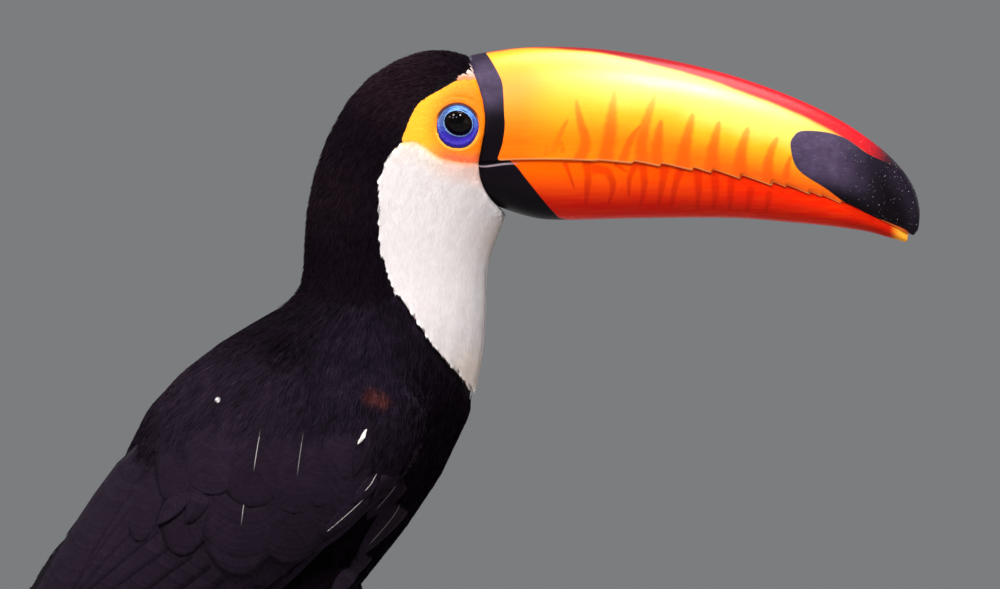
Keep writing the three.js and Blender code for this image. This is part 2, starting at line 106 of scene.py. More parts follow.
# The folded wing from its bend to its tip. At a share of its length: where its lower and upper
# edges lie across its line, and how far out it lies at the lower edge, the middle and the upper.
WING_BEND, WING_TIP = np.array([8.0, 191.0]), np.array([-158.0, 43.0])
WING = [
    (0, 8, 22, 40, 43, 43), (0.03, 1, 36, 42, 47, 45), (0.1, -3, 55, 45, 52, 46),
    (0.2, -4, 69, 48, 55, 43), (0.35, -4, 75, 49, 56, 36.5), (0.5, -3, 79, 46, 54, 17),
    (0.65, -2, 75.5, 41, 49, 11), (0.8, 0, 67.5, 34, 42, 9), (0.9, 3, 56, 30, 35, 11),
    (0.96, 8, 43, 27, 30, 14), (1, 16, 28, 25, 26, 19),
]
WING_LONG = np.linalg.norm(WING_TIP - WING_BEND)
WING_ALONG = (WING_TIP - WING_BEND) / WING_LONG
WING_ACROSS = np.array([WING_ALONG[1], -WING_ALONG[0]])
# The body's own axis, along which the skin is unrolled for baking.
AXIS = [
    (34, 318), (0, 318), (-14, 290), (-14, 255), (-35, 205), (-65, 150), (-95, 105), (-130, 78),
    (-190, 50),
]


def through(points, closed=False, steps=8):
    """A smooth curve through a few points, as many points."""
    points = np.array(points, float)
    count = len(points)
    path = []
    for i in range(count if closed else count - 1):
        if closed:
            a, b, c, d = (points[(i + k) % count] for k in (-1, 0, 1, 2))
        else:
            a, b, c, d = (points[min(max(i + k, 0), count - 1)] for k in (-1, 0, 1, 2))
        for t in np.arange(steps) / steps:
            path.append(b + 0.5 * t * (c - a + t * (2 * a - 5 * b + 4 * c - d + t * (3 * (b - c) + d - a))))
    if not closed:
        path.append(points[-1])
    return np.array(path)


def off_line(x, z, a, b):
    """How far places are from the straight line from a to b, and at what share of it."""
    (ax, az), (bx, bz) = a, b
    share = ((x - ax) * (bx - ax) + (z - az) * (bz - az)) / max((bx - ax) ** 2 + (bz - az) ** 2, 1e-9)
    share = np.clip(share, 0, 1)
    return np.hypot(x - ax - share * (bx - ax), z - az - share * (bz - az)), share


def inside_of(outline, x, z):
    """Distance in mm to a closed outline in the side view, positive inside it."""
    path = through(outline, closed=True, steps=5)
    near = np.full(len(x), 1e9)
    crossings = np.zeros(len(x), int)
    for (ax, az), (bx, bz) in zip(path, np.roll(path, -1, axis=0)):
        near = np.minimum(near, off_line(x, z, (ax, az), (bx, bz))[0])
        spans = (az > z) != (bz > z)
        crossings += spans & (x < ax + (z - az) * (bx - ax) / (bz - az if bz != az else 1e-9))
    return np.where(crossings % 2 == 1, near, -near)


def positions(mesh):
    """A mesh's points in mm, as an array."""
    flat = np.empty(len(mesh.vertices) * 3)
    mesh.vertices.foreach_get("co", flat)
    return flat.reshape(-1, 3) / MM


def normals(mesh):
    """The way out of the surface at each of a mesh's points."""
    flat = np.empty(len(mesh.vertices) * 3)
    mesh.vertices.foreach_get("normal", flat)
    return flat.reshape(-1, 3)


def place(mesh, points):
    """Moves a mesh's points to an array in mm."""
    mesh.vertices.foreach_set("co", (points * MM).ravel())
    mesh.update()


def piece(name, mesh, material=None):
    """An object in the scene for a mesh."""
    made = bpy.data.objects.new(name, mesh)
    bpy.context.scene.collection.objects.link(made)
    if material:
        mesh.materials.append(material)
    return made


def settled(made):
    """Applies an object's modifiers to its mesh."""
    mesh = bpy.data.meshes.new_from_object(made.evaluated_get(bpy.context.evaluated_depsgraph_get()))
    made.modifiers.clear()
    made.data = mesh
    return mesh


def store(mesh, name, values, kind="FLOAT", domain="POINT"):
    """Keeps one value for each point, or each face corner, under a name."""
    attribute = mesh.attributes.new(name, kind, domain)
    key = {"FLOAT": "value", "FLOAT_VECTOR": "vector", "FLOAT2": "vector"}[kind]
    attribute.data.foreach_set(key, np.asarray(values, float).ravel())


def coat_surface():
    """The plumage's outer surface: the flesh grown together and smoothed."""
    solid = bmesh.new()
    for name in FLESH:
        solid.from_mesh(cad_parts[name].data)
    bmesh.ops.remove_doubles(solid, verts=solid.verts, dist=1e-6)
    mesh = bpy.data.meshes.new("coat_surface")
    solid.to_mesh(mesh)
    solid.free()
    place(mesh, positions(mesh) + SWELL * normals(mesh))
    surface = piece("coat_surface", mesh)
    remesh = surface.modifiers.new("grown together", "REMESH")
    remesh.mode = "VOXEL"
    remesh.voxel_size = GRAIN * MM
    smooth = surface.modifiers.new("smoothed", "SMOOTH")
    smooth.factor = 0.5
    smooth.iterations = 14
    mesh = settled(surface)
    # Over each eye the surface is levelled to the cheek round it, under the ring of the lids.
    at = positions(mesh)
    x, z = at[:, 0] - EYE.x, at[:, 2] - EYE.z
    from_eye = np.hypot(x, z)
    terms = np.stack([np.ones_like(x), x, z, x * x, x * z, z * z], axis=1)
    for side in (-1, 1):
        outwards = side * at[:, 1]
        round_it = (outwards > 10) & (from_eye > CHEEK[0]) & (from_eye < CHEEK[1]) & (x < 9)
        fit = np.linalg.lstsq(terms[round_it], outwards[round_it], rcond=None)[0]
        over = (outwards > 5) & (from_eye < LEVELLED)
        level = np.clip((LEVELLED - from_eye) / 2, 0, 1)
        at[over, 1] = (side * (outwards + level * (terms @ fit - outwards)))[over]
    place(mesh, at)
    return surface


def lie_at(x, z, normal):
    """Which way the feathers lie at places on the surface."""
    total = np.zeros((len(x), 3))
    for ax, az, dx, dz in LIE:
        weight = 1 / ((x - ax) ** 2 + (z - az) ** 2 + 20) ** 1.6
        length = np.hypot(dx, dz)
        total += weight[:, None] * np.array([dx / length, 0, dz / length])
    total -= normal * np.sum(total * normal, axis=1)[:, None]
    return total / np.maximum(np.linalg.norm(total, axis=1), 1e-9)[:, None]


def unrolled(at):
    """The surface unrolled about the body's axis: u round it, v along it."""
    axis = through(AXIS, steps=6)
    spans = np.linalg.norm(np.diff(axis, axis=0), axis=1)
    before = np.concatenate([[0], np.cumsum(spans)])
    best = np.full(len(at), 1e9)
    u, v = np.zeros(len(at)), np.zeros(len(at))
    for i, span in enumerate(spans):
        along = (axis[i + 1] - axis[i]) / span
        away = at[:, [0, 2]] - axis[i]
        share = np.clip(away @ along, 0, span)
        off = away - share[:, None] * along
        upwards = off @ np.array([-along[1], along[0]])
        far = np.hypot(off[:, 0], off[:, 1])
        closer = far < best
        best[closer] = far[closer]
        u[closer] = np.arctan2(at[closer, 1], -upwards[closer]) / (2 * np.pi) + 0.5
        v[closer] = (before[i] + share[closer]) / before[-1]
    return 0.02 + 0.96 * np.stack([u, v], axis=1)


def in_wing(x, z):
    """Side-view places in the wing's own terms: the share along it, and mm across its line."""
    away = np.stack([x, z], axis=-1) - WING_BEND
    return away @ WING_ALONG / WING_LONG, away @ WING_ACROSS


def wing_says(along):
    """The wing's lower and upper edge and its three distances out at shares of its length."""
    stations = np.array(WING, float)
    return [np.interp(along, stations[:, 0], stations[:, k]) for k in range(1, 6)]


def wing_out(along, across):
    """How far from the mid plane the wing's outer face lies, also a little beyond its edges."""
    low, high, out_low, out_middle, out_high = wing_says(np.clip(along, 0, 0.96))
    share = (across - low) / (high - low)
    inner = np.clip(share, 0, 1)
    bow = (out_middle - out_low - 0.45 * (out_high - out_low)) / (0.45 * 0.55)
    reach = out_low + inner * (out_high - out_low) + bow * inner * (1 - inner)
    past_low, past_high = np.minimum(share, 0), np.maximum(share - 1, 0)
    reach += past_low * (out_high - out_low + bow) + past_high * (out_high - out_low - bow)
    return reach - 60 * np.maximum(along - 0.96, 0)


def mark(mesh):
    """Keeps on a mesh where each region of skin and plumage lies, in mm inside its edge."""
    x, y, z = (positions(mesh) - [SHIFT, 0, 0]).T
    slope = np.radians(TAIL_SLOPE)
    along, across = in_wing(x, z)
    low, high = wing_says(along)[:2]
    wing = np.minimum(np.minimum(across - low, high - across), WING_LONG * np.minimum(along, 1 - along))
    wing = np.minimum(wing, np.abs(y) - wing_out(along, across) + 8)
    behind = (RUMP[0] - x) * np.cos(slope) + (RUMP[1] - z) * np.sin(slope)
    regions = {
        "bare": inside_of(BARE_FACE, x, z),
        "bib": np.maximum(inside_of(BIB, x, z), inside_of(BROW_CORNER, x, z)),
        "wing": wing,
        "rump": np.minimum(behind, -wing),
        "over_tail": (z - TAIL_ROOT[1]) * np.cos(slope) - (x - TAIL_ROOT[0]) * np.sin(slope),
        "from_eye": np.hypot(x - DRAWN_EYE[0], z - DRAWN_EYE[1]),
        "ring": np.hypot(
            (x - DRAWN_EYE[0] - RING_OFF[0]) / RING_SIZE[0], (z - DRAWN_EYE[1] - RING_OFF[1]) / RING_SIZE[1]
        ),
    }
    for name, values in regions.items():
        store(mesh, name, values)
    return regions | {"x": x, "y": y, "z": z}


coat = coat_surface()
where = mark(coat.data)
out = normals(coat.data)
store(coat.data, "out", out, "FLOAT_VECTOR")
store(coat.data, "lie", lie_at(where["x"], where["z"], out), "FLOAT_VECTOR")
store(coat.data, "unrolled", unrolled(positions(coat.data) - [SHIFT, 0, 0]), "FLOAT2")


REGIONS = ("bare", "bib", "wing", "rump", "over_tail", "from_eye", "ring")


def skin_surface():
    """The skin, with finer mesh and folds where the face is bare, sunk under each eye."""
    mesh = coat.data.copy()
    mesh.name = "skin"
    fine = bmesh.new()
    fine.from_mesh(mesh)
    layer = fine.verts.layers.float["bare"]
    edges = [e for e in fine.edges if all(v[layer] > -1.5 for v in e.verts)]
    bmesh.ops.subdivide_edges(fine, edges=edges, cuts=1, use_grid_fill=True)
    fine.to_mesh(mesh)
    fine.free()
    for name in [a.name for a in mesh.attributes if a.name in REGIONS]:
        mesh.attributes.remove(mesh.attributes[name])
    region = mark(mesh)
    at = positions(mesh)
    feathered = np.clip((0.4 - region["bare"]) / 24, 0, 1)
    from_eye = region["from_eye"]
    depth = FACE_DEPTH + (COAT_DEPTH - FACE_DEPTH) * feathered
    depth += WING_DEPTH * np.clip(region["wing"] / 6, 0, 1)
    depth -= BIB_DEPTH * np.clip((region["bib"] + 1) / 4, 0, 1) * feathered
    # Round the eye the bare skin lies in fine, broken folds.
    folds = np.cos((from_eye - 9.6) * 2 * np.pi / FOLD_GAP) * np.exp(-((from_eye - 10.5) / 3.5) ** 2)
    depth -= FOLD_HIGH * folds * (region["bare"] > 0) * np.clip(1 + np.sin(region["z"] * 0.9), 0, 1)
    on_side = np.abs(at[:, 1]) > 8
    depth += SOCKET * np.clip((0.93 - region["ring"]) / 0.14, 0, 1) * on_side
    place(mesh, at - normals(mesh) * depth[:, None])
    mesh.shade_smooth()
    return piece("skin", mesh)


skin = skin_surface()


class Wire:
    """What a node gives out. Its sums and products with others are nodes too."""

    def __init__(self, socket):
        self.socket = socket
        self.tree = socket.id_data

    def __add__(self, other):
        return math("ADD", self, other)

    def __sub__(self, other):
        return math("SUBTRACT", self, other)

    def __rsub__(self, other):
        return math("SUBTRACT", other, self)

    def __mul__(self, other):
        return math("MULTIPLY", self, other)

    def __abs__(self):
        return math("ABSOLUTE", self)


def plug(socket, value):
    """Gives a socket a wire or a value, and leaves it alone for None. Colours come without alpha."""
    if isinstance(value, Wire):
        value.tree.links.new(value.socket, socket)
    elif value is not None:
        socket.default_value = (*value, 1) if socket.type == "RGBA" else value


def node(tree, kind, *inputs, out=0, **settings):
    """Adds a node with its settings and inputs, and gives one of its outputs."""
    made = tree.nodes.new(kind)
    for key, value in settings.items():
        setattr(made, key, value)
    for socket, value in zip([socket for socket in made.inputs if socket.enabled], inputs):
        plug(socket, value)
    return Wire([socket for socket in made.outputs if socket.enabled][out])


def tree_of(values):
    """The tree of those values that are wires."""
    return next(value.tree for value in values if isinstance(value, Wire))


def math(operation, *values):
    return node(tree_of(values), "ShaderNodeMath", *values, operation=operation)


def tint(share, a, b, how="MIX"):
    """Colour a turned into colour b by a share."""
    return node(tree_of((share, a, b)), "ShaderNodeMix", share, a, b, data_type="RGBA", blend_type=how)


def ramp(value, low, high, to_low=0.0, to_high=1.0):
    """A soft step from one number to another as a value goes from low to high."""
    return node(
        value.tree, "ShaderNodeMapRange", value, low, high, to_low, to_high, interpolation_type="SMOOTHSTEP"
    )


def kept(tree, *names):
    """A number kept on the mesh, or several."""
    found = [node(tree, "ShaderNodeAttribute", out=2, attribute_name=name) for name in names]
    return found if len(found) > 1 else found[0]


def here(tree):
    """The place on the object, in its own coordinates."""
    return node(tree, "ShaderNodeTexCoord", out=3)


def xyz(vector):
    """A vector's three numbers."""
    made = node(vector.tree, "ShaderNodeSeparateXYZ", vector).socket.node
    return [Wire(socket) for socket in made.outputs]


def noise(tree, scale, detail=3.0, roughness=0.55, stretch=(1, 1, 1)):
    """Fine unevenness at so many waves a metre."""
    at = node(tree, "ShaderNodeMapping", here(tree), None, None, stretch)
    return node(tree, "ShaderNodeTexNoise", at, scale, detail, roughness)


def bump(height, distance, strength=1.0, under=None):
    """A relief for the shader, over another one if that is given."""
    made = height.tree.nodes.new("ShaderNodeBump")
    for key, value in (("Strength", strength), ("Distance", distance), ("Height", height), ("Normal", under)):
        plug(made.inputs[key], value)
    return Wire(made.outputs["Normal"])


def surface_of(name):
    """A new material and its tree. Inputs of its shader are set by set_shader."""
    made = bpy.data.materials.new(name)
    made.use_nodes = True
    return made, made.node_tree


def set_shader(tree, **inputs):
    """Sets the shader's inputs, named as in Blender with _ for a space."""
    shader = next(n for n in tree.nodes if n.type == "BSDF_PRINCIPLED")
    for key, value in inputs.items():
        plug(shader.inputs[key.replace("_", " ")], value)


def let_light_in(tree, weight, *reach):
    """How much light goes into the surface, and how far its red, green and blue get, in metres."""
    set_shader(tree, Subsurface_Weight=weight, Subsurface_Radius=reach, Subsurface_Scale=1.0)


RED_PLUME = (0.42, 0.012, 0.008)
ORANGE_SKIN = (0.92, 0.17, 0.0)
YELLOW_SKIN = (0.91, 0.385, 0.012)
FLECK_SKIN = (0.95, 0.33, 0.008)
FLUSHED_SKIN = (0.82, 0.115, 0.045)
CREASE_SHADOW_SKIN = (0.045, 0.006, 0.004)
RIM_SKIN = (0.98, 0.62, 0.10)
BLACK_SKIN = (0.004, 0.0024, 0.0044)  # hidden under black feathers
PALE_SKIN = ((0.90, 0.74, 0.70), (0.95, 0.87, 0.85))  # under white ones, from dark to light
# The down beside the face, behind the eye and in front of it: further off, and close to it.
FLUSH_FAR = ((0.97, 0.76, 0.52), (0.97, 0.62, 0.52))
FLUSH_CLOSE = ((0.94, 0.52, 0.16), (0.93, 0.31, 0.12))
FLUSH_REACH, CLOSE_REACH = 13.0, 2.8  # mm


def before_eye(tree):
    """0 behind the eye and 1 in front of it."""
    return ramp(xyz(here(tree))[0], (EYE.x - 16) * MM, (EYE.x - 2) * MM)


def beside_face(tree, colour, off_face=None):
    """A colour flushed by the bare face: yellow behind, orange below it.

    off_face says how far off the face it is, in mm. Without it the place is at the face's edge.
    """
    in_front = before_eye(tree)
    strength = tint(in_front, (0.35, 0.35, 0.35), (0.8, 0.8, 0.8))
    close = 0.95
    if off_face:
        strength = ramp(off_face, FLUSH_REACH, 0.5) * strength
        close = ramp(off_face, CLOSE_REACH, -0.2) * close
    colour = tint(strength, colour, tint(in_front, *FLUSH_FAR))
    return tint(close, colour, tint(in_front, *FLUSH_CLOSE))


def skin_material():
    made, tree = surface_of("skin")
    bare, bib, from_eye, ring = kept(tree, "bare", "bib", "from_eye", "ring")
    wander = noise(tree, 900) - 0.5
    x, _, z = xyz(here(tree))
    behind = (EYE.x * MM - x) * 450.0
    colour = tint(ramp(from_eye + behind + wander * 5.0, 9, 24), ORANGE_SKIN, YELLOW_SKIN)
    colour = tint(noise(tree, 450, 4) * 0.15, colour, FLECK_SKIN)
    # A painted shadow along the fold over the eye's ring, and a pale yellow rim under it.
    under = EYE.z * MM - z
    crease_shadow = ramp(ring, 1.12, 1.05) * ramp(under, 0.001, -0.004)
    colour = tint(crease_shadow * 0.95, colour, CREASE_SHADOW_SKIN)
    rim = ramp(ring, 1.12, 1.06) * ramp(under, 0.002, 0.006)
    colour = tint(rim * 0.4, colour, RIM_SKIN)
    # The feathered skin has the colour of what grows on it.
    pale = tint(noise(tree, 700), *PALE_SKIN)
    body = tint(ramp(bib, -0.1, 0.1), BLACK_SKIN, beside_face(tree, pale, bare * -1.0))
    coverts = tint(ramp(kept(tree, "over_tail"), -1, 1), RED_PLUME, pale)
    body = tint(ramp(kept(tree, "rump"), -0.2, 0.2), body, coverts)
    # The lower edge of the bare face flushes in front and pales where the down begins.
    low = ramp(z, (EYE.z - 4) * MM, (EYE.z - 12) * MM)
    inside = bare + wander * 3.0
    flushed = ramp(inside, 6.0, 0.8) * low * before_eye(tree)
    colour = tint(flushed * 0.95, colour, FLUSHED_SKIN)
    colour = tint(ramp(inside, 1.0, -0.9) * low, colour, beside_face(tree, pale))
    colour = tint(ramp(bare + wander * 0.8, -0.15, 0.15), body, colour)
    pebbles = node(tree, "ShaderNodeTexVoronoi", here(tree), 1900.0)
    naked = ramp(bare, -0.6, 0.6)
    relief = bump(pebbles * naked, 0.00012, 0.5)
    relief = bump(noise(tree, 420, 5) * naked, 0.0005, 0.6, relief)
    rough = ramp(bare, -0.4, 0.1, 0.95, 0.5)
    set_shader(tree, Base_Color=colour, Roughness=rough, Normal=relief, Specular_IOR_Level=0.12)
    let_light_in(tree, 0.12, 0.0016, 0.0006, 0.0002)
    return made


skin.data.materials.append(skin_material())
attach(skin, "root")
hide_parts(*FLESH)


# ---------------------------------------------------------------------------
# The bill. Light, hollow horn in two halves: the upper with a ridge, forward
# saw teeth on its cutting edge and a black spot at its tip, the lower keeled.
# Both grow out of the skull from a black band under the edge of the skin.
# ---------------------------------------------------------------------------

# The line where horn meets skin, down the side of the face.
FACE_LINE = [
    (15, 362), (20, 347), (24.3, 335), (26.2, 324), (25, 313), (23, 303), (24, 295.5), (28.5, 287.5),
    (37, 281.6), (60, 272),
]
# Stations of each half: its ridge, its cutting edge, and the half width at its widest and there.
UPPER_BILL = [
    (13, 348.2, 14, 304, 21, 19), (24, 351.2, 24, 304.2, 21, 19.4), (45, 353.8, 45, 304.9, 20.6, 18.8),
    (72, 353.2, 71, 304.6, 19.6, 17.4), (100, 349.2, 96, 303.2, 18.3, 15.8),
    (127, 343, 120, 299.6, 16.8, 14), (152.5, 334.5, 142.5, 295.1, 15, 11.8),
    (174, 324.8, 162.5, 290.2, 13, 9.4), (190.5, 314.4, 179, 286, 11, 7.2),
    (202.5, 304, 191.5, 280.6, 9, 5.2), (209.6, 294, 200.6, 276.9, 7.2, 3.6),
    (212.4, 284.5, 206.4, 274.2, 5, 2.4), (212.2, 277, 209.8, 272.9, 2.6, 1.3),
]
LOWER_BILL = [
    (18, 292.5, 14, 303.4, 18.6, 18.2), (28, 286.6, 25, 303.2, 19.2, 18.6),
    (45.5, 280.7, 45, 303.9, 18.8, 18.1), (60, 279.5, 60, 304, 17.9, 17.2),
    (84, 280, 84, 303.3, 16.4, 15.8), (109.5, 280.4, 110, 300.6, 14.7, 13.9),
    (134.5, 280.2, 135.5, 296, 12.6, 11.8), (155, 278.6, 157, 290.8, 10.3, 9.5),
    (174, 276.8, 176.5, 285.8, 8.2, 7.2), (189, 274.6, 191.5, 279.9, 6.1, 5),
    (199, 272, 200.8, 276, 4, 3), (206.5, 269.9, 207.4, 272.6, 1.9, 1.3),
]
# The front edges of the black band at the upper half's base and of the black patch at the lower's.
BAND_EDGE = [
    (22, 356), (26.1, 351), (29.7, 345), (32.7, 338.8), (33.5, 332.8), (33.8, 325.6), (34.1, 319),
    (33, 311.3), (31, 305.3), (29.5, 298),
]
PATCH_EDGE = [
    (20, 318), (31, 311), (35.4, 306.6), (36.8, 304), (39.4, 301.7), (43.2, 296.7), (48.5, 290.1),
    (52.9, 284.9), (57.2, 280.4), (62, 274),
]
TIP_SPOT = [
    (156.3, 310.9), (157.8, 315.2), (161.3, 317.5), (171.1, 317.1), (179.3, 314.8), (184.9, 311.3),
    (190.3, 307.5), (201.2, 302.7), (210, 299), (226, 296), (228, 262), (212, 270.4), (206.8, 274.8),
    (201.2, 277.4), (195.6, 279.5), (187.9, 281.7), (179.3, 287.2), (171.6, 292.8), (159.5, 301),
]
# Where each saw tooth of the cutting edge ends, and its depth. The edge rises over them by EDGE_RISE.
TEETH = [(72.8, 0.5), (88.8, 1.2), (100.8, 1.6), (114.3, 1.6), (122.9, 1.8), (135.1, 2.0), (148.4, 2.0)]
TEETH += [(154.6, 1.1), (164.6, 1.4), (170.2, 0.9), (178.5, 1.3)]
EDGE_RISE = [(60, 0), (80, 0.4), (110, 1.1), (125, 1.9), (160, 2.2), (172, 1.5), (190, 0.8), (205, 0)]
# Darker flames that rise from the cutting edge: their middle lines and half width at the foot.
FLAMES = [
    ([(51.8, 307.5), (51.4, 311.5)], 0.9), ([(55, 309.5), (57.2, 314.6), (61, 322.4)], 1.7),
    ([(58.8, 308.5), (58.6, 313)], 0.9), ([(65.4, 304), (68.6, 312), (66.4, 321), (64.4, 331)], 2.7),
    ([(77, 304), (79, 316), (79.8, 325), (81.2, 334.5)], 3.5),
    ([(84.6, 305), (87.6, 313), (92, 319.5)], 1.9),
    ([(92.6, 304), (92.8, 314), (95.4, 324), (98.6, 333.4)], 3.0),
    ([(98.6, 303), (99.4, 313), (101, 322)], 3.1), ([(110, 302), (111.4, 312), (114.6, 324.8)], 3.4),
    ([(122.6, 300), (123.2, 310), (125.8, 321.2)], 3.3),
    ([(134.6, 299), (135.2, 308), (138.2, 319)], 3.3), ([(146.6, 298), (147.2, 306), (150.8, 315)], 2.7),
    ([(154.4, 298), (155.2, 302.4), (156.6, 307)], 1.7),
]
# And the duller ones that run down the lower half.
STREAKS = [
    ([(60, 303), (61.8, 298.4), (63.8, 292.6)], 1.2), ([(69.4, 303.8), (69.6, 296), (68.6, 285)], 2.4),
    ([(72.6, 301), (78, 299.6), (80.4, 293.6), (78.4, 285.6)], 2.5), ([(81.6, 303), (86.4, 299.6)], 1.0),
    ([(90, 302.6), (87.4, 297), (87.2, 289)], 1.8), ([(93, 302), (93.8, 294), (92, 285)], 2.1),
    ([(102.4, 301), (101.2, 293.6), (99.8, 285)], 2.3), ([(109, 300), (106.8, 293), (105.4, 284.4)], 2.1),
    ([(116.6, 299), (117, 291), (116.4, 284)], 2.2), ([(124, 297.6), (124.2, 290), (123.4, 283.6)], 2.3),
    ([(131, 296), (130.6, 289), (130.4, 283.4)], 2.0), ([(139.4, 292), (138.6, 287), (138, 283)], 2.0),
    ([(147.4, 290), (146.6, 285.6), (146, 282.6)], 1.8),
]
UNDER_SKIN = 3.0  # mm of horn that runs back under the skin's edge
TEETH_START = 60.0
LIP_UNDER, LIP_INSIDE = 1.7, 0.35  # how far the lower half's edge reaches up and in under the upper's
HORN_TUCK = 1.3  # how far the horn dips under the skin's edge
BILL_CORE = 318.0  # height of the middle of the bill's base


def between(stations, at):
    """A row of numbers between stations, by a Catmull-Rom curve, for an array of places."""
    stations = np.array(stations, float)
    i = np.clip(np.floor(at).astype(int), 0, len(stations) - 2)
    a, b, c, d = (stations[np.clip(i + k, 0, len(stations) - 1)] for k in (-1, 0, 1, 2))
    t = (at - i)[..., None]
    return b + 0.5 * t * (c - a + t * (2 * a - 5 * b + 4 * c - d + t * (3 * (b - c) + d - a)))


def face_line_at(z):
    """How far forward the face reaches at each height."""
    line = through(FACE_LINE)
    return np.interp(-z, -line[:, 1], line[:, 0])


def shut(rows, columns):
    """Faces of a grid of points round a limb or a horn, with a point after them at each end."""
    faces = []
    for i in range(rows - 1):
        for j in range(columns):
            k = (j + 1) % columns
            faces.append((i * columns + j, i * columns + k, (i + 1) * columns + k, (i + 1) * columns + j))
    first, last, at = rows * columns, rows * columns + 1, (rows - 1) * columns
    for j in range(columns):
        k = (j + 1) % columns
        faces += [(first, k, j), (last, at + j, at + k)]
    return faces


def mesh_of(name, points, faces):
    """A smooth mesh from points drawn in mm."""
    mesh = bpy.data.meshes.new(name)
    mesh.from_pydata(((np.asarray(points) + [SHIFT, 0, 0]) * MM).tolist(), [], faces)
    mesh.shade_smooth()
    return mesh


def mend(mesh, merge=0.0, outwards=True):
    """Merges the points of a mesh that lie within a distance, and turns its faces outwards."""
    fix = bmesh.new()
    fix.from_mesh(mesh)
    if merge:
        bmesh.ops.remove_doubles(fix, verts=fix.verts, dist=merge)
    if outwards:
        bmesh.ops.recalc_face_normals(fix, faces=fix.faces)
    fix.to_mesh(mesh)
    fix.free()


def edge_saw(x):
    """How far the saw teeth reach below the plain cutting edge."""
    drop = np.zeros_like(x)
    start = TEETH_START
    for end, depth in TEETH:
        share = (x - start) / (end - start)
        drop += np.where((share >= 0) & (share < 1), depth * share, 0)
        start = end
    return drop


def edge_rise(x):
    """How far above its stations the cutting edge lies between the teeth."""
    return np.interp(x, *np.array(EDGE_RISE, float).T)


def bill_half(name, stations, roundness, rows, round_it, teeth):
    """One half of the bill, each line of it starting just behind the face line."""
    last = len(stations) - 1.0
    turn = np.linspace(-1, 1, 2 * round_it + 1)
    angle = (1 - np.abs(turn)) * np.pi / 2
    rise = np.sin(angle) ** 1.15
    side = np.where(turn < 0, -1, 1)

    def points(at):
        """Points at stations for each line round the half."""
        row = between(stations, at)
        ridge, edge, half, lip = row[..., 0:2], row[..., 2:4], row[..., 4], row[..., 5]
        share = np.broadcast_to(rise, at.shape)
        flat = edge + (ridge - edge) * share[..., None]
        bulge = half * (1 - share**roundness) ** (1 / roundness) - (half - lip) * (1 - share) ** 3
        return np.stack([flat[..., 0], side * bulge, flat[..., 1]], axis=-1)

    low, high = np.zeros(len(turn)), np.full(len(turn), 4.0)
    for _ in range(30):
        middle = (low + high) / 2
        at = points(middle)
        behind = at[:, 0] < face_line_at(at[:, 2]) - UNDER_SKIN
        low, high = np.where(behind, middle, low), np.where(behind, high, middle)
    share = np.linspace(0, 1, rows)
    share = share + 0.12 * np.sin(2 * np.pi * share) / (2 * np.pi)  # a little finer at both ends
    stations_at = low + (last - low) * share[:, None]
    grid = points(stations_at)
    # Behind the skin's edge the horn is thinner, and dips under it.
    over = grid[..., 0] - face_line_at(grid[..., 2])
    tuck = np.clip((0.6 - over) / 2, 0, 1)[..., None] * HORN_TUCK
    inwards = ([0, 0, BILL_CORE] - grid) * [0, 1, 1]
    grid += tuck * inwards / np.linalg.norm(inwards, axis=-1)[..., None]
    if teeth:
        near = np.clip(1 - rise * 9, 0, 1) ** 1.5
        grid[..., 2] += (edge_rise(grid[..., 0]) - edge_saw(grid[..., 0])) * near
    else:
        # The lower half's edge closes up inside the upper's.
        near = np.clip(1 - rise * 5, 0, 1)
        grid[..., 2] += (LIP_UNDER + edge_rise(grid[..., 0])) * near
        grid[..., 1] -= side * LIP_INSIDE * near
    ends = np.stack([grid[0].mean(axis=0), grid[-1].mean(axis=0) + [0.5, 0, -0.3]])
    every = np.concatenate([grid.reshape(-1, 3), ends])
    mesh = mesh_of(name, every, shut(rows, len(turn)))
    ridge = between(stations, np.concatenate([stations_at.ravel(), [0, last]]))
    store(mesh, "rise", np.concatenate([np.tile(rise, rows), [0.5, 0.5]]))
    store(mesh, "under_ridge", np.hypot(ridge[:, 0] - every[:, 0], ridge[:, 1] - every[:, 2]))
    store(mesh, "forward", every[:, 0])
    mend(mesh, merge=1e-6)
    return mesh


def in_front_of(edge, x, z):
    """Distance in mm in front of an edge line that runs from high to low."""
    outline = list(edge) + [(-60, edge[-1][1] - 30), (-60, edge[0][1] + 30)]
    return -inside_of(outline, x, z)


def inside_flames(flames, x, z):
    """How far inside the nearest of some flames each place is: 0 at its edge, 1 on its middle line."""
    best = np.full(len(x), -3.0)
    for places, half in flames:
        path = through(places, steps=6)
        for i, ends in enumerate(zip(path, path[1:])):
            away, share = off_line(x, z, *ends)
            up = (i + share) / (len(path) - 1)
            best = np.maximum(best, 1 - away / (half * (1 - up) ** 0.5 + 0.1))
    return best


def lengthwise(tree, across, along, detail=3.0):
    """Streaks along the horn: noise drawn out from base to tip."""
    at = node(tree, "ShaderNodeMapping", here(tree), None, (0, np.radians(8), 0), (along / across, 1, 1))
    return node(tree, "ShaderNodeTexNoise", at, across, detail, 0.6)


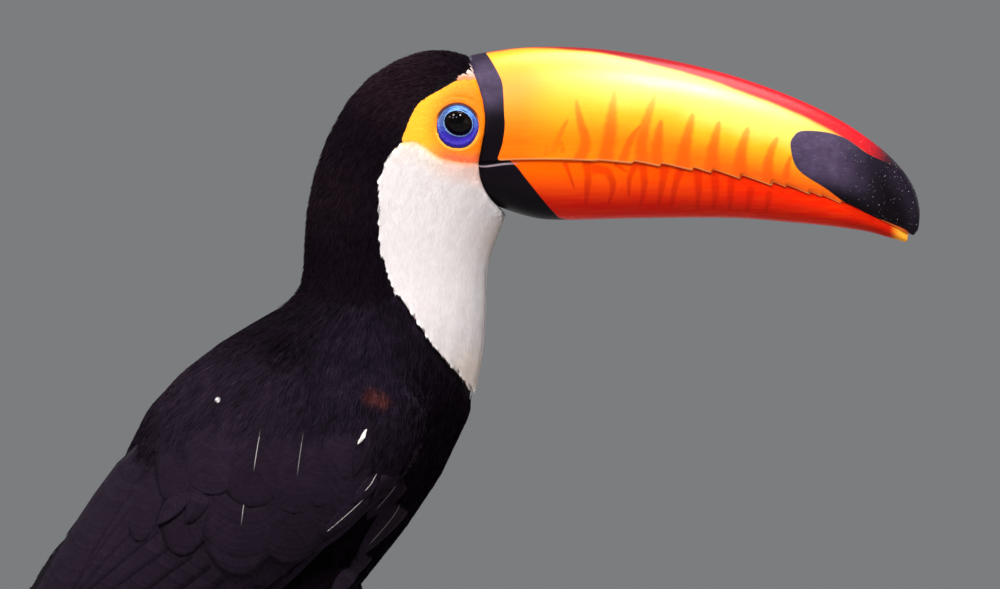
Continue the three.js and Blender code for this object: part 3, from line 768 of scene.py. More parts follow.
DARK_CULMEN, CULMEN_RED, CULMEN_BORDER = (0.27, 0.001, 0.006), (0.50, 0.002, 0.008), (1.0, 0.3, 0.02)
BASE_YELLOW, BRIGHT_YELLOW, PALE_HORN_AND_HIGHLIGHT_YELLOW = (0.98, 0.42, 0.004), (0.98, 0.50, 0.005), (1.0, 0.72, 0.13)
DEEP_ORANGE, TIP_ORANGE, STREAK_ORANGE = (0.98, 0.22, 0.0), (0.96, 0.11, 0.0), (1.0, 0.36, 0.006)
BASE_SHADE = (1, 0.68, 0.7)
FLAME_RED = (0.90, 0.095, 0.0)
MANDIBLE_ORANGE, MANDIBLE_STREAK = (0.92, 0.10, 0.0), (0.95, 0.14, 0.002)
MANDIBLE_RED, MANDIBLE_FRONT = (0.72, 0.005, 0.0018), (0.70, 0.0075, 0.001)
MANDIBLE_FLAME = (0.50, 0.006, 0.001)
MANDIBLE_UNDER, MANDIBLE_TIP = (0.34, 0.004, 0.001), (1.0, 0.4, 0.03)
GAPE_LINE = (0.42, 0.32, 0.38)
EDGE_HORN = (0.98, 0.40, 0.14)
BLACK_HORN, DULL_HORN, DUST_AND_HIGHLIGHT_HORN = (0.004, 0.0022, 0.0045), (0.030, 0.020, 0.042), (0.125, 0.088, 0.175)
DUST_SPECK = (0.6, 0.55, 0.55)


def black_horn(tree, dust_and_highlight_share, dull_colour=DULL_HORN):
    """Black horn, dulled purple by fine scratches and dust; on the band and the tip spot the share also
    paints a highlight.
    """
    scratches = ramp(lengthwise(tree, 2600, 240), 0.52, 0.75)
    dull = noise(tree, 130, 5, 0.65) + scratches * 0.35
    return tint(dull * dust_and_highlight_share, BLACK_HORN, dull_colour)


def horn_roughness(tree, black, least, more):
    """Worn a little unevenly, and rougher by more where the horn is black."""
    return ramp(noise(tree, 90, 4), 0.3, 0.8, 0.0, 0.1) + least + black * more


def horn_relief(tree, *borders):
    """Fine grain along the horn, shallow dents and a low step at the borders of its black parts."""
    relief = bump(lengthwise(tree, 1500, 70, 4), 0.00012, 0.5)
    relief = bump(noise(tree, 75, 3), 0.0008, 0.22, relief)
    for border, step, strength in borders:
        relief = bump(ramp(border, -0.5, 0.5), step, strength, relief)
    return relief


def upper_horn_material():
    made, tree = surface_of("upper_horn")
    rise, under, forward = kept(tree, "rise", "under_ridge", "forward")
    band, spot, flame = kept(tree, "band", "spot", "flames")
    waver = noise(tree, 60, 3) - 0.5
    # Orange along the cutting edge, and yellow over it.
    height = rise + waver * 0.16 + ramp(forward, 98, 130, 0.0, 0.08)
    orange = tint(ramp(forward, 60, 165), DEEP_ORANGE, TIP_ORANGE)
    yellow = tint(ramp(forward, 95, 35), BRIGHT_YELLOW, BASE_YELLOW)
    colour = tint(ramp(height, 0.14, 0.56), orange, yellow)
    # A broad pale band over the middle of the bill: partly paler horn, partly a painted highlight.
    broad = ramp(height, 0.42, 0.66) * ramp(forward, 45, 95) * ramp(forward, 185, 150)
    colour = tint(broad * 0.9, colour, PALE_HORN_AND_HIGHLIGHT_YELLOW)
    by_base = ramp(forward, 58, 38) * ramp(rise, 0.92, 0.62, 0.3, 1.0)
    colour = tint(by_base, colour, BASE_SHADE, how="MULTIPLY")
    streaks = ramp(lengthwise(tree, 900, 60, 4), 0.35, 0.7)
    colour = tint(streaks * 0.16, colour, STREAK_ORANGE)
    soft = flame + (noise(tree, 500, 3) - 0.5) * 0.7
    strong = ramp(rise, 0.22, 0.66, 0.78, 0.34) * ramp(forward, 52, 66, 0.45, 1.0)
    colour = tint(ramp(soft, -0.5, 0.6) * strong, colour, FLAME_RED)
    # The red of the ridge widens forwards, with a frayed orange border.
    near = ramp(forward, 30, 165, 0.5, 6.3) - (under + waver * 1.2)
    colour = tint(ramp(near, -2.6, 0.4), colour, CULMEN_BORDER)
    ridge = tint(ramp(forward, 85, 145), DARK_CULMEN, CULMEN_RED)
    colour = tint(ramp(near, -0.7, 0.7), colour, ridge)
    # Pale thin horn along the cutting edge.
    colour = tint(ramp(rise, 0.02, 0.003) * 0.75, colour, EDGE_HORN)
    # The spot is lighter at its upper hind end, partly dust and partly a painted highlight, and clean black
    # below and in front.
    in_spot, in_band = ramp(spot, -0.25, 0.25), ramp(band, 0.15, -0.15)
    dust_and_highlight = ramp(forward, 199, 166, 0.0, 1.15) * ramp(rise, 0.06, 0.36)
    colour = tint(in_spot, colour, black_horn(tree, dust_and_highlight, DUST_AND_HIGHLIGHT_HORN))
    grainy = forward + noise(tree, 900, 4) * 8.0
    dusk = ramp(grainy, 190, 205) * ramp(near, -8, 0.4)
    colour = tint(dusk, colour, black_horn(tree, 0.5))
    # Painted highlight: the black band is lighter across its upper middle, streaked by the scratches.
    band_highlight = ramp(rise, 0.36, 0.64, 0.0, 0.8) * ramp(rise, 1.0, 0.76, 0.3, 1.0)
    colour = tint(in_band, colour, black_horn(tree, band_highlight, DUST_AND_HIGHLIGHT_HORN))
    specks = math("GREATER_THAN", noise(tree, 1500, 1), 0.735) * ramp(forward, 165, 205)
    colour = tint(specks * 0.75, colour, DUST_SPECK)
    # A soft bloom of wax lies over the coloured horn, little over the black.
    black = math("MAXIMUM", in_spot, in_band)
    waxy = (1.0 - black) * ramp(rise, 0.12, 0.5, 0.25, 0.95) * ramp(near, -1.5, 0.5, 1.0, 0.45) + 0.012
    rough = horn_roughness(tree, black, 0.16, 0.17)
    relief = horn_relief(tree, (spot, 0.0003, 0.6), (band, 0.0004, 0.7))
    set_shader(tree, Base_Color=colour, Roughness=rough, Normal=relief)
    set_shader(tree, Specular_IOR_Level=0.07, Coat_Weight=waxy, Coat_Roughness=0.36)
    let_light_in(tree, 0.12, 0.002, 0.0008, 0.0002)
    return made


def lower_horn_material():
    made, tree = surface_of("lower_horn")
    rise, forward, patch, flame = kept(tree, "rise", "forward", "patch", "flames")
    height = rise + (noise(tree, 55, 3) - 0.5) * 0.22
    colour = tint(ramp(height, 0.15, 0.8), MANDIBLE_ORANGE, MANDIBLE_RED)
    colour = tint(ramp(forward, 60, 150) * 0.95, colour, MANDIBLE_FRONT)
    streaks = ramp(lengthwise(tree, 800, 55, 4), 0.35, 0.7)
    colour = tint(streaks * 0.12, colour, MANDIBLE_STREAK)
    soft = flame + (noise(tree, 450, 3) - 0.5) * 0.6
    colour = tint(ramp(soft, -0.25, 0.6) * 0.55, colour, MANDIBLE_FLAME)
    colour = tint(ramp(forward, 172, 192) * 0.5, colour, MANDIBLE_UNDER)
    colour = tint(ramp(forward, 199, 204.5), colour, MANDIBLE_TIP)
    in_patch = ramp(patch, 0.2, -0.2)
    colour = tint(in_patch, colour, black_horn(tree, 0.02))
    # A pale line under the gape, where the horn of the lower half ends over the black patch.
    off_gape = abs(rise - ramp(forward, 24, 36, 0.115, 0.07))
    pale = ramp(off_gape, 0.022, 0.008) * ramp(forward, 41, 35)
    colour = tint(pale * 0.7, colour, GAPE_LINE)
    rough = horn_roughness(tree, in_patch, 0.2, 0.12)
    set_shader(tree, Base_Color=colour, Roughness=rough, Normal=horn_relief(tree, (patch, 0.0004, 0.7)))
    set_shader(tree, Specular_IOR_Level=0.06, Coat_Weight=0.04, Coat_Roughness=0.07)
    let_light_in(tree, 0.12, 0.002, 0.0006, 0.0002)
    return made


upper = bill_half("upper_bill_horn", UPPER_BILL, roundness=2.15, rows=300, round_it=72, teeth=True)
x, _, z = (positions(upper) - [SHIFT, 0, 0]).T
store(upper, "band", in_front_of(BAND_EDGE, x, z))
store(upper, "spot", inside_of(TIP_SPOT, x, z))
store(upper, "flames", inside_flames(FLAMES, x, z))
upper_bill = piece("upper_bill_horn", upper, upper_horn_material())
lower = bill_half("lower_bill_horn", LOWER_BILL, roundness=2.3, rows=260, round_it=56, teeth=False)
x, _, z = (positions(lower) - [SHIFT, 0, 0]).T
store(lower, "patch", in_front_of(PATCH_EDGE, x, z))
store(lower, "flames", inside_flames(STREAKS, x, z))
lower_bill = piece("lower_bill_horn", lower, lower_horn_material())
for half, solid, slot in ((upper_bill, "upper_bill", "upper_horn"), (lower_bill, "lower_bill", "lower_horn")):
    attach(half, "root")
    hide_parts(solid)


# ---------------------------------------------------------------------------
# The eyes. A dark, glossy ball on each side, set in a padded ring of bare blue
# skin whose rim grips the ball and whose outer edge sinks into the orange face.
# ---------------------------------------------------------------------------

EYE_RADIUS = 7.0
OPENING = (6.05, 5.35)  # half its width and height
OPENING_OFF = (0.3, -0.65)  # of its middle from the eye's
OPENING_LEAN = 0.1
RING_ROWS, RING_COLUMNS = 26, 128
SUNK, PAD, FOLD, LID_THICK = 0.55, 0.95, 0.035, 0.35  # of the ring: in the face, over it, and at the ball


PUPIL, IRIS_RIM = (0.0012, 0.001, 0.001), (0.004, 0.003, 0.004)
IRIS = ((0.002, 0.001, 0.0008), (0.007, 0.0028, 0.0016))  # from dark to light
DEEP_BLUE, BRIGHT_BLUE = (0.034, 0.016, 0.38), (0.15, 0.38, 0.95)
MILKY_BLUE, WART_BLUE, RIM_BLUE = (0.42, 0.58, 0.92), (0.022, 0.012, 0.22), (0.34, 0.60, 0.86)
CREASE_SHADOW_BLUE = (0.012, 0.008, 0.03)


def eye_material():
    made, tree = surface_of("eye")
    x, _, z = xyz(node(tree, "ShaderNodeVectorMath", here(tree), EYE * MM, operation="SUBTRACT"))
    from_middle = math("SQRT", x * x + z * z) * (1 / MM)
    iris = tint(noise(tree, 1600, 3), *IRIS)
    colour = tint(ramp(from_middle, 3.0, 3.5), PUPIL, iris)
    colour = tint(ramp(from_middle, 5.0, 5.5), colour, IRIS_RIM)
    set_shader(tree, Base_Color=colour, Roughness=0.03, Specular_IOR_Level=0.13)
    return made


def ring_material():
    made, tree = surface_of("eye_ring")
    inwards = kept(tree, "inwards")
    x, _, z = xyz(here(tree))
    ahead, height = x - EYE.x * MM, z - EYE.z * MM
    bright = height + (noise(tree, 600, 4) - 0.5) * 0.006
    colour = tint(ramp(bright, -0.007, 0.006), DEEP_BLUE, BRIGHT_BLUE)
    milky = ramp(ahead, -0.002, -0.008) * ramp(height, -0.005, 0.003)
    colour = tint(milky * 0.6, colour, MILKY_BLUE)
    warts = node(tree, "ShaderNodeTexVoronoi", here(tree), 1050.0)
    between_warts = ramp(warts, 0.15, 0.6) * ramp(height, 0.004, -0.006, 0.35, 0.85)
    colour = tint(between_warts, colour, WART_BLUE)
    rim = ramp(inwards, 0.86, 0.97) * ramp(height, 0.005, 0.0, 0.25, 0.75)
    colour = tint(rim, colour, RIM_BLUE)
    # Painted shadow in a fold over the pad, and in another where the ring meets the face.
    crease_shadow = ramp(inwards, 0.38, 0.27) * ramp(height, -0.002, 0.003)
    crease_shadow = math("MAXIMUM", crease_shadow * 0.95, ramp(inwards, 0.13, 0.05))
    colour = tint(crease_shadow, colour, CREASE_SHADOW_BLUE)
    relief = bump(ramp(warts, 0.0, 0.7, 1.0, 0.0), 0.00022, 0.8)
    set_shader(tree, Base_Color=colour, Roughness=0.42, Normal=relief, Specular_IOR_Level=0.13)
    let_light_in(tree, 0.1, 0.0003, 0.0005, 0.0012)
    return made


coat_tree = BVHTree.FromObject(coat, bpy.context.evaluated_depsgraph_get())


def level_at(x, z, side):
    """How far out the coat's surface lies at a place in the side view, on one side."""
    hit = coat_tree.ray_cast(Vector(((x + SHIFT) * MM, side * 0.08, z * MM)), Vector((0, -side, 0)))[0]
    return abs(hit.y) / MM if hit and hit.y * side > 0 else 0.0


def round_eye(angle, t, rx, rz, off):
    """A place round the eye, at a share t of the way in, off its middle by a share of the ring's."""
    x = DRAWN_EYE[0] + OPENING_OFF[0] + (RING_OFF[0] - OPENING_OFF[0]) * off + rx * np.cos(angle)
    z = DRAWN_EYE[1] + OPENING_OFF[1] + (RING_OFF[1] - OPENING_OFF[1]) * off + rz * np.sin(angle)
    return x, z - OPENING_LEAN * t * rx * np.cos(angle)


def lid_ring(side):
    """The ring as a round grid, from its rim in the face to its rim on the ball."""
    points, share_inwards = [], []
    angles = 2 * np.pi * np.arange(RING_COLUMNS) / RING_COLUMNS
    for t in np.arange(RING_ROWS) / (RING_ROWS - 1):
        for angle in angles:
            wave = 0.12 * np.sin(5 * angle + 1) * (1 - t)
            rx, rz = (inner + (outer - inner + wave) * (1 - t) for inner, outer in zip(OPENING, RING_SIZE))
            x, z = round_eye(angle, t, rx, rz, (1 - t) ** 1.3)
            face = level_at(x, z, side) - SUNK
            from_middle = np.hypot(x - DRAWN_EYE[0], z - DRAWN_EYE[1])
            ball = EYE_OUT + np.sqrt(max(EYE_RADIUS**2 - from_middle**2, 4.0))
            pad = PAD * np.sin(np.pi * min(t * 1.1, 1.0)) ** 0.7
            blend = np.clip((t - 0.25) / 0.75, 0, 1) ** 1.5
            level = face + (ball + LID_THICK - face) * blend + pad * (1 - blend)
            level += FOLD * np.sin(2 * np.pi * 3.2 * t + 0.7 * np.sin(3 * angle)) * np.sin(np.pi * t)
            points.append((x, side * level, z))
            share_inwards.append(t)
    # The rim turns in against the ball and ends under it.
    for angle in angles:
        x, z = round_eye(angle, 1, OPENING[0] - 0.15, OPENING[1] - 0.15, 0)
        points.append((x, side * (EYE_OUT + 3.2), z))
        share_inwards.append(1.0)
    faces = []
    for i in range(RING_ROWS):
        for j in range(RING_COLUMNS):
            k = (j + 1) % RING_COLUMNS
            a, b = i * RING_COLUMNS, (i + 1) * RING_COLUMNS
            faces.append((a + j, a + k, b + k, b + j) if side < 0 else (a + k, a + j, b + j, b + k))
    mesh = mesh_of("eye_ring", points, faces)
    store(mesh, "inwards", share_inwards)
    return mesh


eye_finish, ring_finish = eye_material(), ring_material()
for side, name in ((-1, "right"), (1, "left")):
    ball = bmesh.new()
    bmesh.ops.create_uvsphere(ball, u_segments=64, v_segments=40, radius=EYE_RADIUS * MM)
    bmesh.ops.rotate(ball, verts=ball.verts, cent=(0, 0, 0), matrix=Matrix.Rotation(np.pi / 2, 3, "X"))
    bmesh.ops.translate(ball, verts=ball.verts, vec=(EYE.x * MM, side * EYE_OUT * MM, EYE.z * MM))
    mesh = bpy.data.meshes.new(f"eyeball_{name}")
    ball.to_mesh(mesh)
    ball.free()
    mesh.shade_smooth()
    eye = piece(f"eyeball_{name}", mesh, eye_finish)
    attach(eye, "root")
    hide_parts(f"eye_{name}")
    ring = piece(f"eye_ring_{name}", lid_ring(side), ring_finish)
    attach(ring, "root")


# ---------------------------------------------------------------------------
# The body plumage. Thousands of small loose feathers, each a soft vane with
# free barbs at its tip, grow along the lie of the coat: short and velvety round
# the bill and eyes, longer over the mantle, breast and tail coverts.
# ---------------------------------------------------------------------------

TUFT_PATCH = 0.003  # of the bake map, for each tuft
TUFT_KINDS = 5
SOWN_PAST = GRAIN * 6  # the surface is kept this far past a piece's region
# The vane under a tuft's barbs: at shares of its length, its half width and height.
PLATE = ((0.0, 0.05, -1.0), (0.45, 0.17, -0.75), (0.85, 0.2, -0.5), (1.0, 0.1, -0.42))


def tuft(name, seed, strands, thin, loose, fan=0.5, plate=0.62, broad=1.0, wisp=0.0):
    """One small feather, a unit long, lying along +X from its root at the origin.

    strands are its free barbs, thin half their width, loose how far they part, and wisp how far
    one of them stands up. plate is how far its vane reaches, and broad how wide that is.
    """
    draw = np.random.default_rng(seed)
    points, faces, rise, flat = [], [], [], []

    def add(x, y, z):
        points.append((x, y, 0))
        rise.append(z)
        flat.append((np.clip(x, 0, 1), np.clip(0.5 + y, 0, 1)))
        return len(points) - 1

    before = None
    for share, half, z in PLATE:
        x, y = plate * share, half * fan * 2 * broad
        row = [add(x, -y, z - 0.12), add(x, 0, z), add(x, y, z - 0.12)]
        if before:
            faces += [(before[0], row[0], row[1], before[1]), (before[1], row[1], row[2], before[2])]
        before = row
    # The free barbs over it, from its shaft outwards.
    for k in range(strands):
        spread = -1 + 2 * (k + 0.5) / strands + draw.uniform(-0.15, 0.15)
        start = draw.uniform(0.12, 0.42)
        end = (1 - 0.28 * spread**2) * draw.uniform(0.86, 1.06)
        y0, y1 = spread * fan * 0.1, spread * fan * draw.uniform(0.8, 1.05)
        lift = draw.uniform(-0.05, 0.3) * loose + wisp * (k == seed % strands)
        tilt = draw.uniform(-0.16, 0.16) * loose
        before = None
        for t, width in ((0.0, 0.7), (0.5, 1.0), (1.0, 0.0)):
            x = start + (end - start) * t
            y = y0 + (y1 - y0) * t**1.4
            z = -0.55 + (0.55 + lift) * t**0.8
            if width:
                row = [add(x, y - thin * width, z - tilt), add(x, y + thin * width, z + tilt)]
                if before:
                    faces.append((before[0], row[0], row[1], before[1]))
                before = row
            else:
                faces.append((before[0], add(x, y, z), before[1]))
    mesh = bpy.data.meshes.new(name)
    mesh.from_pydata(points, [], faces)
    store(mesh, "height", rise)
    corners = [flat[loop.vertex_index] for loop in mesh.loops]
    store(mesh, "vane", corners, "FLOAT2", "CORNER")
    return bpy.data.objects.new(name, mesh)


def tuft_set(name, **shape):
    """A collection of tufts that differ only by chance."""
    made = bpy.data.collections.new(name)
    for i in range(TUFT_KINDS):
        made.objects.link(tuft(f"{name}_{i}", 11 * i + 5, **shape))
    return made


def plumage_tree():
    """Geometry Nodes that grow tufts on a surface along its lie and drape them over it."""
    tree = bpy.data.node_groups.new("plumage", "GeometryNodeTree")
    socket = tree.interface.new_socket
    socket("Geometry", in_out="OUTPUT", socket_type="NodeSocketGeometry")
    socket("Geometry", in_out="INPUT", socket_type="NodeSocketGeometry")
    for name, kind in (
        ("Spacing", "NodeSocketFloat"), ("Length", "NodeSocketFloat"), ("Width", "NodeSocketFloat"),
        ("Rise", "NodeSocketFloat"), ("Disorder", "NodeSocketFloat"), ("Seed", "NodeSocketInt"),
        ("Tufts", "NodeSocketCollection"), ("Material", "NodeSocketMaterial"),
    ):
        socket(name, in_out="INPUT", socket_type=kind)
    given = {socket.name: Wire(socket) for socket in tree.nodes.new("NodeGroupInput").outputs if socket.name}

    def number(name):
        return node(tree, "GeometryNodeInputNamedAttribute", name, data_type="FLOAT")

    def vector(name):
        return node(tree, "GeometryNodeInputNamedAttribute", name, data_type="FLOAT_VECTOR")

    def aim(turn, way, axis, pivot="AUTO"):
        return node(tree, "FunctionNodeAlignRotationToVector", turn, 1.0, way, axis=axis, pivot_axis=pivot)

    def vector_math(operation, a, b):
        return node(tree, "ShaderNodeVectorMath", a, b, operation=operation)

    def chance(low, high, seed, kind="FLOAT"):
        return node(tree, "FunctionNodeRandomValue", low, high, None, seed, data_type=kind)

    spread = tree.nodes.new("GeometryNodeDistributePointsOnFaces")
    spread.distribute_method = "POISSON"
    plug(spread.inputs["Density Max"], 4e6)
    for key, name in (("Mesh", "Geometry"), ("Distance Min", "Spacing"), ("Seed", "Seed")):
        plug(spread.inputs[key], given[name])
    outside = node(tree, "FunctionNodeCompare", number("where"), 0.0, operation="LESS_THAN")
    roots = node(tree, "GeometryNodeDeleteGeometry", Wire(spread.outputs["Points"]), outside, domain="POINT")
    # Each tuft's X axis follows the lie and its Z axis points out of the surface.
    turn = aim(aim(None, vector("lie"), "X"), vector("out"), "Z", "X")
    stray = node(tree, "ShaderNodeCombineXYZ", 0.0, 0.0, chance(-1.0, 1.0, 3) * given["Disorder"])
    turn = node(tree, "FunctionNodeRotateRotation", turn, stray, rotation_space="LOCAL")
    grown = number("size") * chance(0.82, 1.18, 4)
    size = node(tree, "ShaderNodeCombineXYZ", grown * given["Length"], grown * given["Width"], 1.0)
    templates = node(tree, "GeometryNodeCollectionInfo", given["Tufts"], True, True)
    which = chance(0, TUFT_KINDS - 1, 5, "INT")
    tufts = node(tree, "GeometryNodeInstanceOnPoints", roots, None, templates, True, which, turn, size)
    tufts = node(
        tree, "GeometryNodeStoreNamedAttribute", tufts, None, "tone", chance(0.0, 1.0, 6),
        data_type="FLOAT", domain="INSTANCE",
    )
    loose = node(tree, "GeometryNodeRealizeInstances", tufts)
    # Each point is put over the surface's nearest place by its height in the tuft.
    nearest = [
        node(tree, "GeometryNodeSampleNearestSurface", given["Geometry"], value, data_type="FLOAT_VECTOR")
        for value in (node(tree, "GeometryNodeInputPosition"), vector("out"))
    ]
    off = tree.nodes.new("ShaderNodeVectorMath")
    off.operation = "SCALE"
    plug(off.inputs["Vector"], nearest[1])
    plug(off.inputs["Scale"], number("height") * given["Rise"] * number("size"))
    at = vector_math("ADD", nearest[0], Wire(off.outputs[0]))
    draped = node(tree, "GeometryNodeSetPosition", loose, None, at)
    # On the bake map a tuft is a small patch at its place on the unrolled surface.
    patch = vector_math("MULTIPLY", vector_math("ADD", vector("vane"), (-0.5, -0.5, 0)), (TUFT_PATCH,) * 3)
    patch = vector_math("ADD", patch, vector("unrolled"))
    draped = node(
        tree, "GeometryNodeStoreNamedAttribute", draped, None, "OFBake", patch,
        data_type="FLOAT2", domain="CORNER",
    )
    draped = node(tree, "GeometryNodeSetShadeSmooth", draped, None, True)
    draped = node(tree, "GeometryNodeSetMaterial", draped, None, given["Material"])
    plug(tree.nodes.new("NodeGroupOutput").inputs[0], draped)
    return tree


plumage = plumage_tree()


def plumage_piece(name, region, size, tufts, finish, measures, seed):
    """Grows one piece of the coat where its region is positive."""
    spacing, length, width, rise, disorder = measures
    base = piece(f"{name}_base", coat.data.copy())
    # Only the faces that reach the region are kept, so that none is sown in vain.
    near = region >= -SOWN_PAST
    cut = bmesh.new()
    cut.from_mesh(base.data)
    bmesh.ops.delete(cut, geom=[vert for vert, stays in zip(cut.verts, near) if not stays], context="VERTS")
    cut.to_mesh(base.data)
    cut.free()
    store(base.data, "where", region[near])
    store(base.data, "size", np.broadcast_to(size, region.shape)[near])
    grow = base.modifiers.new("plumage", "NODES")
    grow.node_group = plumage
    names = {item.name: item.identifier for item in plumage.interface.items_tree if item.in_out == "INPUT"}
    values = {
        "Spacing": spacing * MM, "Length": length * MM, "Width": width * MM, "Rise": rise * MM,
        "Disorder": disorder, "Seed": seed, "Tufts": tufts, "Material": finish,
    }
    for key, value in values.items():
        grow[names[key]] = value
    mesh = settled(base)
    if finish is white:
        x, _, z = (positions(mesh) - [SHIFT, 0, 0]).T
        store(mesh, "off_face", -inside_of(BARE_FACE, x, z))
    for spare in ("where", "size", "lie", "height", "vane", "unrolled"):
        if spare in mesh.attributes:
            mesh.attributes.remove(mesh.attributes[spare])
    base.name = mesh.name = name
    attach(base, "root")


def near_place(tree, x, z, far, near, both):
    """1 within a distance of a side-view place on the right side, down to 0 further off, in mm."""
    off = node(
        tree, "ShaderNodeVectorMath", here(tree), ((x + SHIFT) * MM, 0, z * MM), operation="SUBTRACT"
    )
    flat = node(tree, "ShaderNodeVectorMath", off, (1, 0, 1), operation="MULTIPLY")
    away = node(tree, "ShaderNodeVectorMath", flat, operation="LENGTH", out=0)
    wander = (noise(tree, 350, 3) - 0.5) * ((far - near) * MM)
    share = ramp(away + wander, far * MM, near * MM)
    return share if both else share * math("LESS_THAN", xyz(off)[1], 0.0)


def feather_material(name, dark, light, gloss, gloss_colour, roughness, sheen, places=(), uneven=0.7,
                     relief=0.0001, by_face=False):
    """Barbs of one colour, each tuft a little lighter or darker, with fine streaks.

    places are spots of another colour: x, z, how far they reach and how far in full, their
    colour and its strength, and whether they lie on both sides of the body. uneven says how far
    that colour varies. by_face is for tufts that take on the bare face's colour near it.
    """
    made, tree = surface_of(name)
    share = kept(tree, "tone") * 0.6 + noise(tree, 1400, 3, 0.6, (1, 1, 0.3)) * 0.4
    colour = tint(share, dark, light)
    if by_face:
        colour = beside_face(tree, colour, kept(tree, "off_face"))
    for x, z, far, near, other, strength, both in places:
        there = near_place(tree, x, z, far, near, both) * strength
        darker, lighter = ([level * way for level in other] for way in (1 - uneven, 1 + uneven))
        colour = tint(there, colour, tint(share, darker, lighter))
    streaks = bump(noise(tree, 2600, 2, 0.6, (1, 1, 0.25)), relief, 0.5)
    set_shader(tree, Base_Color=colour, Roughness=roughness, Normal=streaks)
    set_shader(tree, Specular_IOR_Level=gloss, Specular_Tint=gloss_colour)
    set_shader(tree, Sheen_Weight=sheen, Sheen_Roughness=0.4, Sheen_Tint=gloss_colour)
    return made, tree


# Where the mantle's feathers grow over the folded wing.
MANTLE = [
    (-170, 162), (-138, 171), (-121, 172), (-110, 177), (-97, 184), (-88, 187), (-74, 191), (-59, 193),
    (-42, 194), (-32, 190), (-27, 181), (-19, 177), (-9, 180), (0, 187), (12, 190), (30, 240), (-60, 300),
    (-180, 250),
]

fine_tufts = tuft_set("fine_tufts", strands=7, thin=0.03, loose=0.9, broad=1.5, wisp=0.55)
long_tufts = tuft_set("long_tufts", strands=9, thin=0.02, loose=0.55)
down_tufts = tuft_set("down_tufts", strands=7, thin=0.04, loose=0.35, plate=0.86, broad=1.5)

PURPLE = (0.75, 0.45, 0.9)
BLACK_PLACES = [
    (-82, 184, 50, 22, (0.0225, 0.0145, 0.026), 0.9, True),  # the lower mantle, paler: painted sheen
    (-34, 192, 40, 12, (0.016, 0.0108, 0.02), 0.85, True),
    (-24, 219, 42, 4, (0.0165, 0.0112, 0.0215), 0.8, True),  # a lighter, bluer patch of painted sheen over the shoulder
    (-22, 204, 5.8, 0.4, (0.10, 0.026, 0.020), 0.62, False),  # a worn, rusty patch at the wing's bend
    (-17.5, 202, 5.2, 0.4, (0.10, 0.026, 0.020), 0.62, False),
    (-87.3, 203, 1.5, 0.5, (0.9, 0.88, 0.88), 1.0, False),  # a speck of down
]
CROWN_PLACES = [
    (-13, 339, 32, 6, (0.0165, 0.0085, 0.0125), 0.85, True),  # browner over the crown, and lighter there as painted sheen
    (-42, 290, 30, 6, (0.0115, 0.0064, 0.0095), 0.7, True),  # and down the nape
]
WHITE_PLACES = [
    (23, 299, 9, 0.5, (0.98, 0.66, 0.56), 0.5, True),  # warm skin shows through by the gape
    (33, 270, 15, 3, (0.93, 0.75, 0.66), 0.5, True),  # and at the throat's front edge
    (21, 214, 17, 3, (0.96, 0.82, 0.70), 0.6, True),  # the bib's tip is stained cream
]
black, _ = feather_material(
    "black_plumage", (0.0026, 0.0013, 0.0026), (0.006, 0.0033, 0.006), 0.03, PURPLE, 0.5, 0.004, BLACK_PLACES
)
velvet, _ = feather_material(
    "black_velvet", (0.0035, 0.0018, 0.0033), (0.0090, 0.0052, 0.0086), 0.018, PURPLE, 0.75, 0.003,
    CROWN_PLACES,
)
white, white_tree = feather_material(
    "white_plumage", (0.85, 0.76, 0.77), (1.0, 0.95, 0.96), 0.1, (1, 1, 1), 0.7, 0.1, WHITE_PLACES, 0.04,
    relief=0.0004, by_face=True,
)
let_light_in(white_tree, 0.35, 0.002, 0.0017, 0.0016)  # white barbs pass light to their neighbours
red, _ = feather_material(
    "red_plumage", (0.36, 0.008, 0.006), (0.58, 0.02, 0.012), 0.12, (1, 0.5, 0.4), 0.65, 0.1
)

# How far apart the feathers of each piece stand, their length, width and rise in mm, and how much
# they stray from the lie.
HEAD_COAT = (1.12, 8.5, 4.8, 1.3, 0.14)
BIB_COAT = (1.1, 8.5, 4.6, 0.5, 0.1)
BODY_COAT = (1.75, 14.0, 6.4, 1.9, 0.1)
UPPERTAIL_COAT = (2.2, 17.0, 9.0, 2.2, 0.12)
UNDERTAIL_COAT = (2.2, 16.0, 8.5, 2.2, 0.12)
MANTLE_LINE = 22  # mm across the wing's line, where the mantle's piece meets the breast's

X, Y, Z = where["x"], where["y"], where["z"]
bare, bib, wing, rump, over = (where[key] for key in ("bare", "bib", "wing", "rump", "over_tail"))
# How long the feathers are for their piece: shorter the nearer the bill and the bare face.
from_bill = np.maximum(20 - X, 0) * 0.8
near_face = np.clip(np.minimum(-bare, from_bill + 2) / 30, 0, 1)
neck_line = 247 + 0.12 * (X + 52)  # where the neck's short plumage gives way to the mantle's
head_black = np.minimum.reduce([-bib - 0.3, -bare - 0.1, Z - neck_line, face_line_at(Z) + 1.4 - X])
plumage_piece(
    "head_plumage", head_black, 0.4 + 0.6 * near_face, fine_tufts, velvet, HEAD_COAT, 1
)
